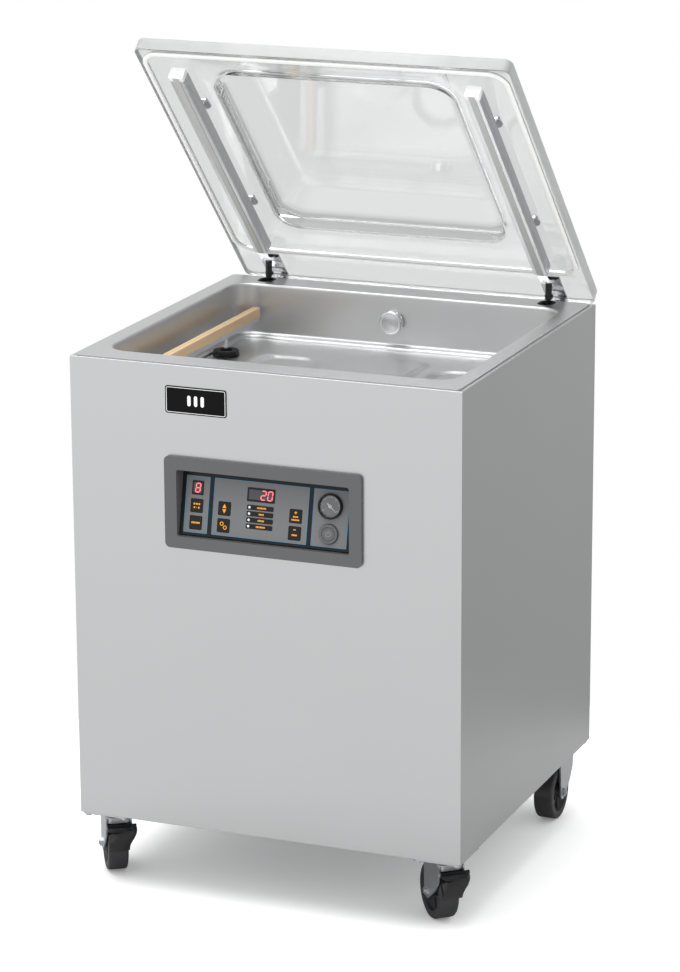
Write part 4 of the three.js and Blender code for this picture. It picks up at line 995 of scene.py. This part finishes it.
def pedal(hand):
    """A glossy hood over the wheel, swept out to an ear on one side, with a toe tab and a bar."""
    place, body = f"front_{hand}", f"brake_pedal_{hand}"
    swivel = Vector(JOINTS[f"swivel_{place}"]["pos_m"])
    axis = Vector(JOINTS[f"wheel_{place}"]["axis"])
    stand = at(swivel.x, swivel.y, 0) @ Matrix.Rotation(math.atan2(axis.y, axis.x), 4, "Z")
    across, down = 20, 16
    points = [hood_point(2 * j / across - 1, i / down) for i in range(down + 1) for j in range(across + 1)]
    width = across + 1
    faces = [
        (i * width + j, i * width + j + 1, (i + 1) * width + j + 1, (i + 1) * width + j)
        for i in range(down) for j in range(across)
    ]
    hood = show(f"brake_hood_{hand}", mesh_from(points, faces), body, "black_plastic", stand, HOOD_BLACK)
    wall = hood.modifiers.new("wall", "SOLIDIFY")
    wall.thickness = 0.0022
    wall.offset = 0
    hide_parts(body)
    tab = slab([rounded(0.044, 0.022, 0.008)], 0.0035, 0.0010)
    tab.transform(at(0, 0.039, 0.0955))
    bar = lathe([(0, TOE_BAR_LEFT), (0.003, TOE_BAR_LEFT), (0.003, TOE_BAR_RIGHT), (0, TOE_BAR_RIGHT)], 20)
    bar.transform(at(0, 0.0275, 0.099) @ SIDEWAYS)
    show(f"brake_tab_{hand}", joined(tab, bar), body, "black_plastic", stand)


# ---- camera, floor and light ----
def camera():
    azimuth, elevation, roll = math.radians(22.14), math.radians(15.61), math.radians(-0.27)
    distance = 6.430
    target = Vector((-0.0012, MIDDLE, 0.6598))
    back = Vector((
        math.sin(azimuth) * math.cos(elevation),
        -math.cos(azimuth) * math.cos(elevation),
        math.sin(elevation),
    ))
    right = Vector((math.cos(azimuth), math.sin(azimuth), 0))
    up = back.cross(right)
    turned_right = right * math.cos(roll) + up * math.sin(roll)
    turned_up = up * math.cos(roll) - right * math.sin(roll)
    data = bpy.data.cameras.new("camera")
    data.sensor_width = 36
    data.lens = 136.85
    data.clip_end = 60
    obj = bpy.data.objects.new("camera", data)
    bpy.context.scene.collection.objects.link(obj)
    turn = Matrix((turned_right, turned_up, back)).transposed()
    obj.matrix_world = at(*(target + back * distance)) @ turn.to_4x4()
    bpy.context.scene.camera = obj


FLOOR_GLOW = 0.15
LAMP_PLACE = Vector((-0.6, -0.5, 4.2))


def stage_floor():
    """A white disc that glows slightly and is darker in glossy reflections."""
    disc = slab([arc(0.05, -0.05, 0.90, 0, 355, 71)], 0.001)
    disc.transform(at(0, 0, -0.0011))
    pale = look("floor", (0.96, 0.96, 0.96), 0.7, 0, ((3, 3, 3), 0, 0.03, 0.01),
                Emission_Color=(1, 1, 1, 1), Emission_Strength=FLOOR_GLOW)
    tree = pale.node_tree
    share = add_node(tree, "MixShader", {
        "Fac": add_node(tree, "LightPath").outputs["Is Glossy Ray"],
        1: tree.nodes["Principled BSDF"].outputs["BSDF"],
        2: add_node(tree, "BsdfDiffuse", {"Color": (0.42, 0.42, 0.42, 1)}).outputs["BSDF"]})
    tree.links.new(share.outputs["Shader"], tree.nodes["Material Output"].inputs["Surface"])
    disc.materials.append(pale)
    stage = bpy.data.objects.new("floor", disc)
    bpy.context.scene.collection.objects.link(stage)


def top_lamp():
    """A large round lamp high at the front left, aimed at the foot of the machine."""
    data = bpy.data.lights.new("top", "AREA")
    data.shape = "DISK"
    data.size = 3.8
    data.energy = 120
    lamp = bpy.data.objects.new("top", data)
    bpy.context.scene.collection.objects.link(lamp)
    lamp.location = LAMP_PLACE
    lamp.rotation_euler = (-LAMP_PLACE).to_track_quat("-Z", "Y").to_euler()


def studio():
    scene = bpy.context.scene
    scene.view_settings.view_transform = "Standard"
    scene.cycles.max_bounces = 24
    scene.cycles.glossy_bounces = 16
    scene.cycles.transmission_bounces = 20
    scene.world = soft_room()
    stage_floor()
    top_lamp()


def ramp(tree, value, spans, strengths):
    """A smooth step of the value from one strength to another."""
    step = add_node(tree, "MapRange", {
        "From Min": spans[0], "From Max": spans[1], "To Min": strengths[0], "To Max": strengths[1],
        "Value": value}, interpolation_type="SMOOTHSTEP")
    return step.outputs["Result"]


def soft_room():
    """White to the camera and even to diffuse rays. What shines or shows through sees a room that
    darkens to the right, to the back, below and right above."""
    world = bpy.data.worlds.new("studio")
    world.use_nodes = True
    tree = world.node_tree
    coordinates = add_node(tree, "TexCoord").outputs["Generated"]
    split = add_node(tree, "SeparateXYZ", {"Vector": coordinates}).outputs
    strength = ramp(tree, split["X"], (0.0, 0.42), (1.0, 0.55))
    for share in (ramp(tree, split["Y"], (-0.30, 0.30), (1.08, 0.80)),
                  ramp(tree, split["Z"], (-0.42, -0.16), (0.62, 1.0)),
                  ramp(tree, split["Z"], (0.22, 0.40), (1.0, 0.84))):
        strength = add_node(tree, "Math", {0: strength, 1: share}, operation="MULTIPLY").outputs[0]
    rays = add_node(tree, "LightPath").outputs
    shine = add_node(tree, "Mix", {"A": strength, "B": 1.2, "Factor": rays["Is Diffuse Ray"]})
    room = tree.nodes["Background"]
    room.inputs["Color"].default_value = (1, 1, 1, 1)
    tree.links.new(shine.outputs["Result"], room.inputs["Strength"])
    white = add_node(tree, "Background", {"Color": (1, 1, 1, 1)})
    mix = add_node(tree, "MixShader", {
        "Fac": rays["Is Camera Ray"], 1: room.outputs["Background"], 2: white.outputs["Background"]})
    tree.links.new(mix.outputs["Shader"], tree.nodes["World Output"].inputs["Surface"])
    return world


# ---- the machine ----
camera()
studio()
dress_cad_nodes()
chamber_tub()
chamber_rim()
suction_cap()
lid_acrylic()
gasket()
for HAND in ("left", "right"):
    seal_bar(HAND)
    counter_bar(HAND)
    hinge_details(HAND)
    pedal(HAND)
    for PLACE in ("front", "back"):
        lift_collar(HAND, PLACE)
        wheel(f"{PLACE}_{HAND}")
panel_fields()
display("program_display", -0.126, 0.0238, 0.021, 0.024, [("8", 0.0005)])
display("process_display", STRIP_X, 0.0219, 0.050, 0.0235, [("2", 0.0045), ("0", 0.0165)])
key_marks()
process_strips()
vacuum_gauge()
power_button()
badge()
rear_details()
base_bolts()
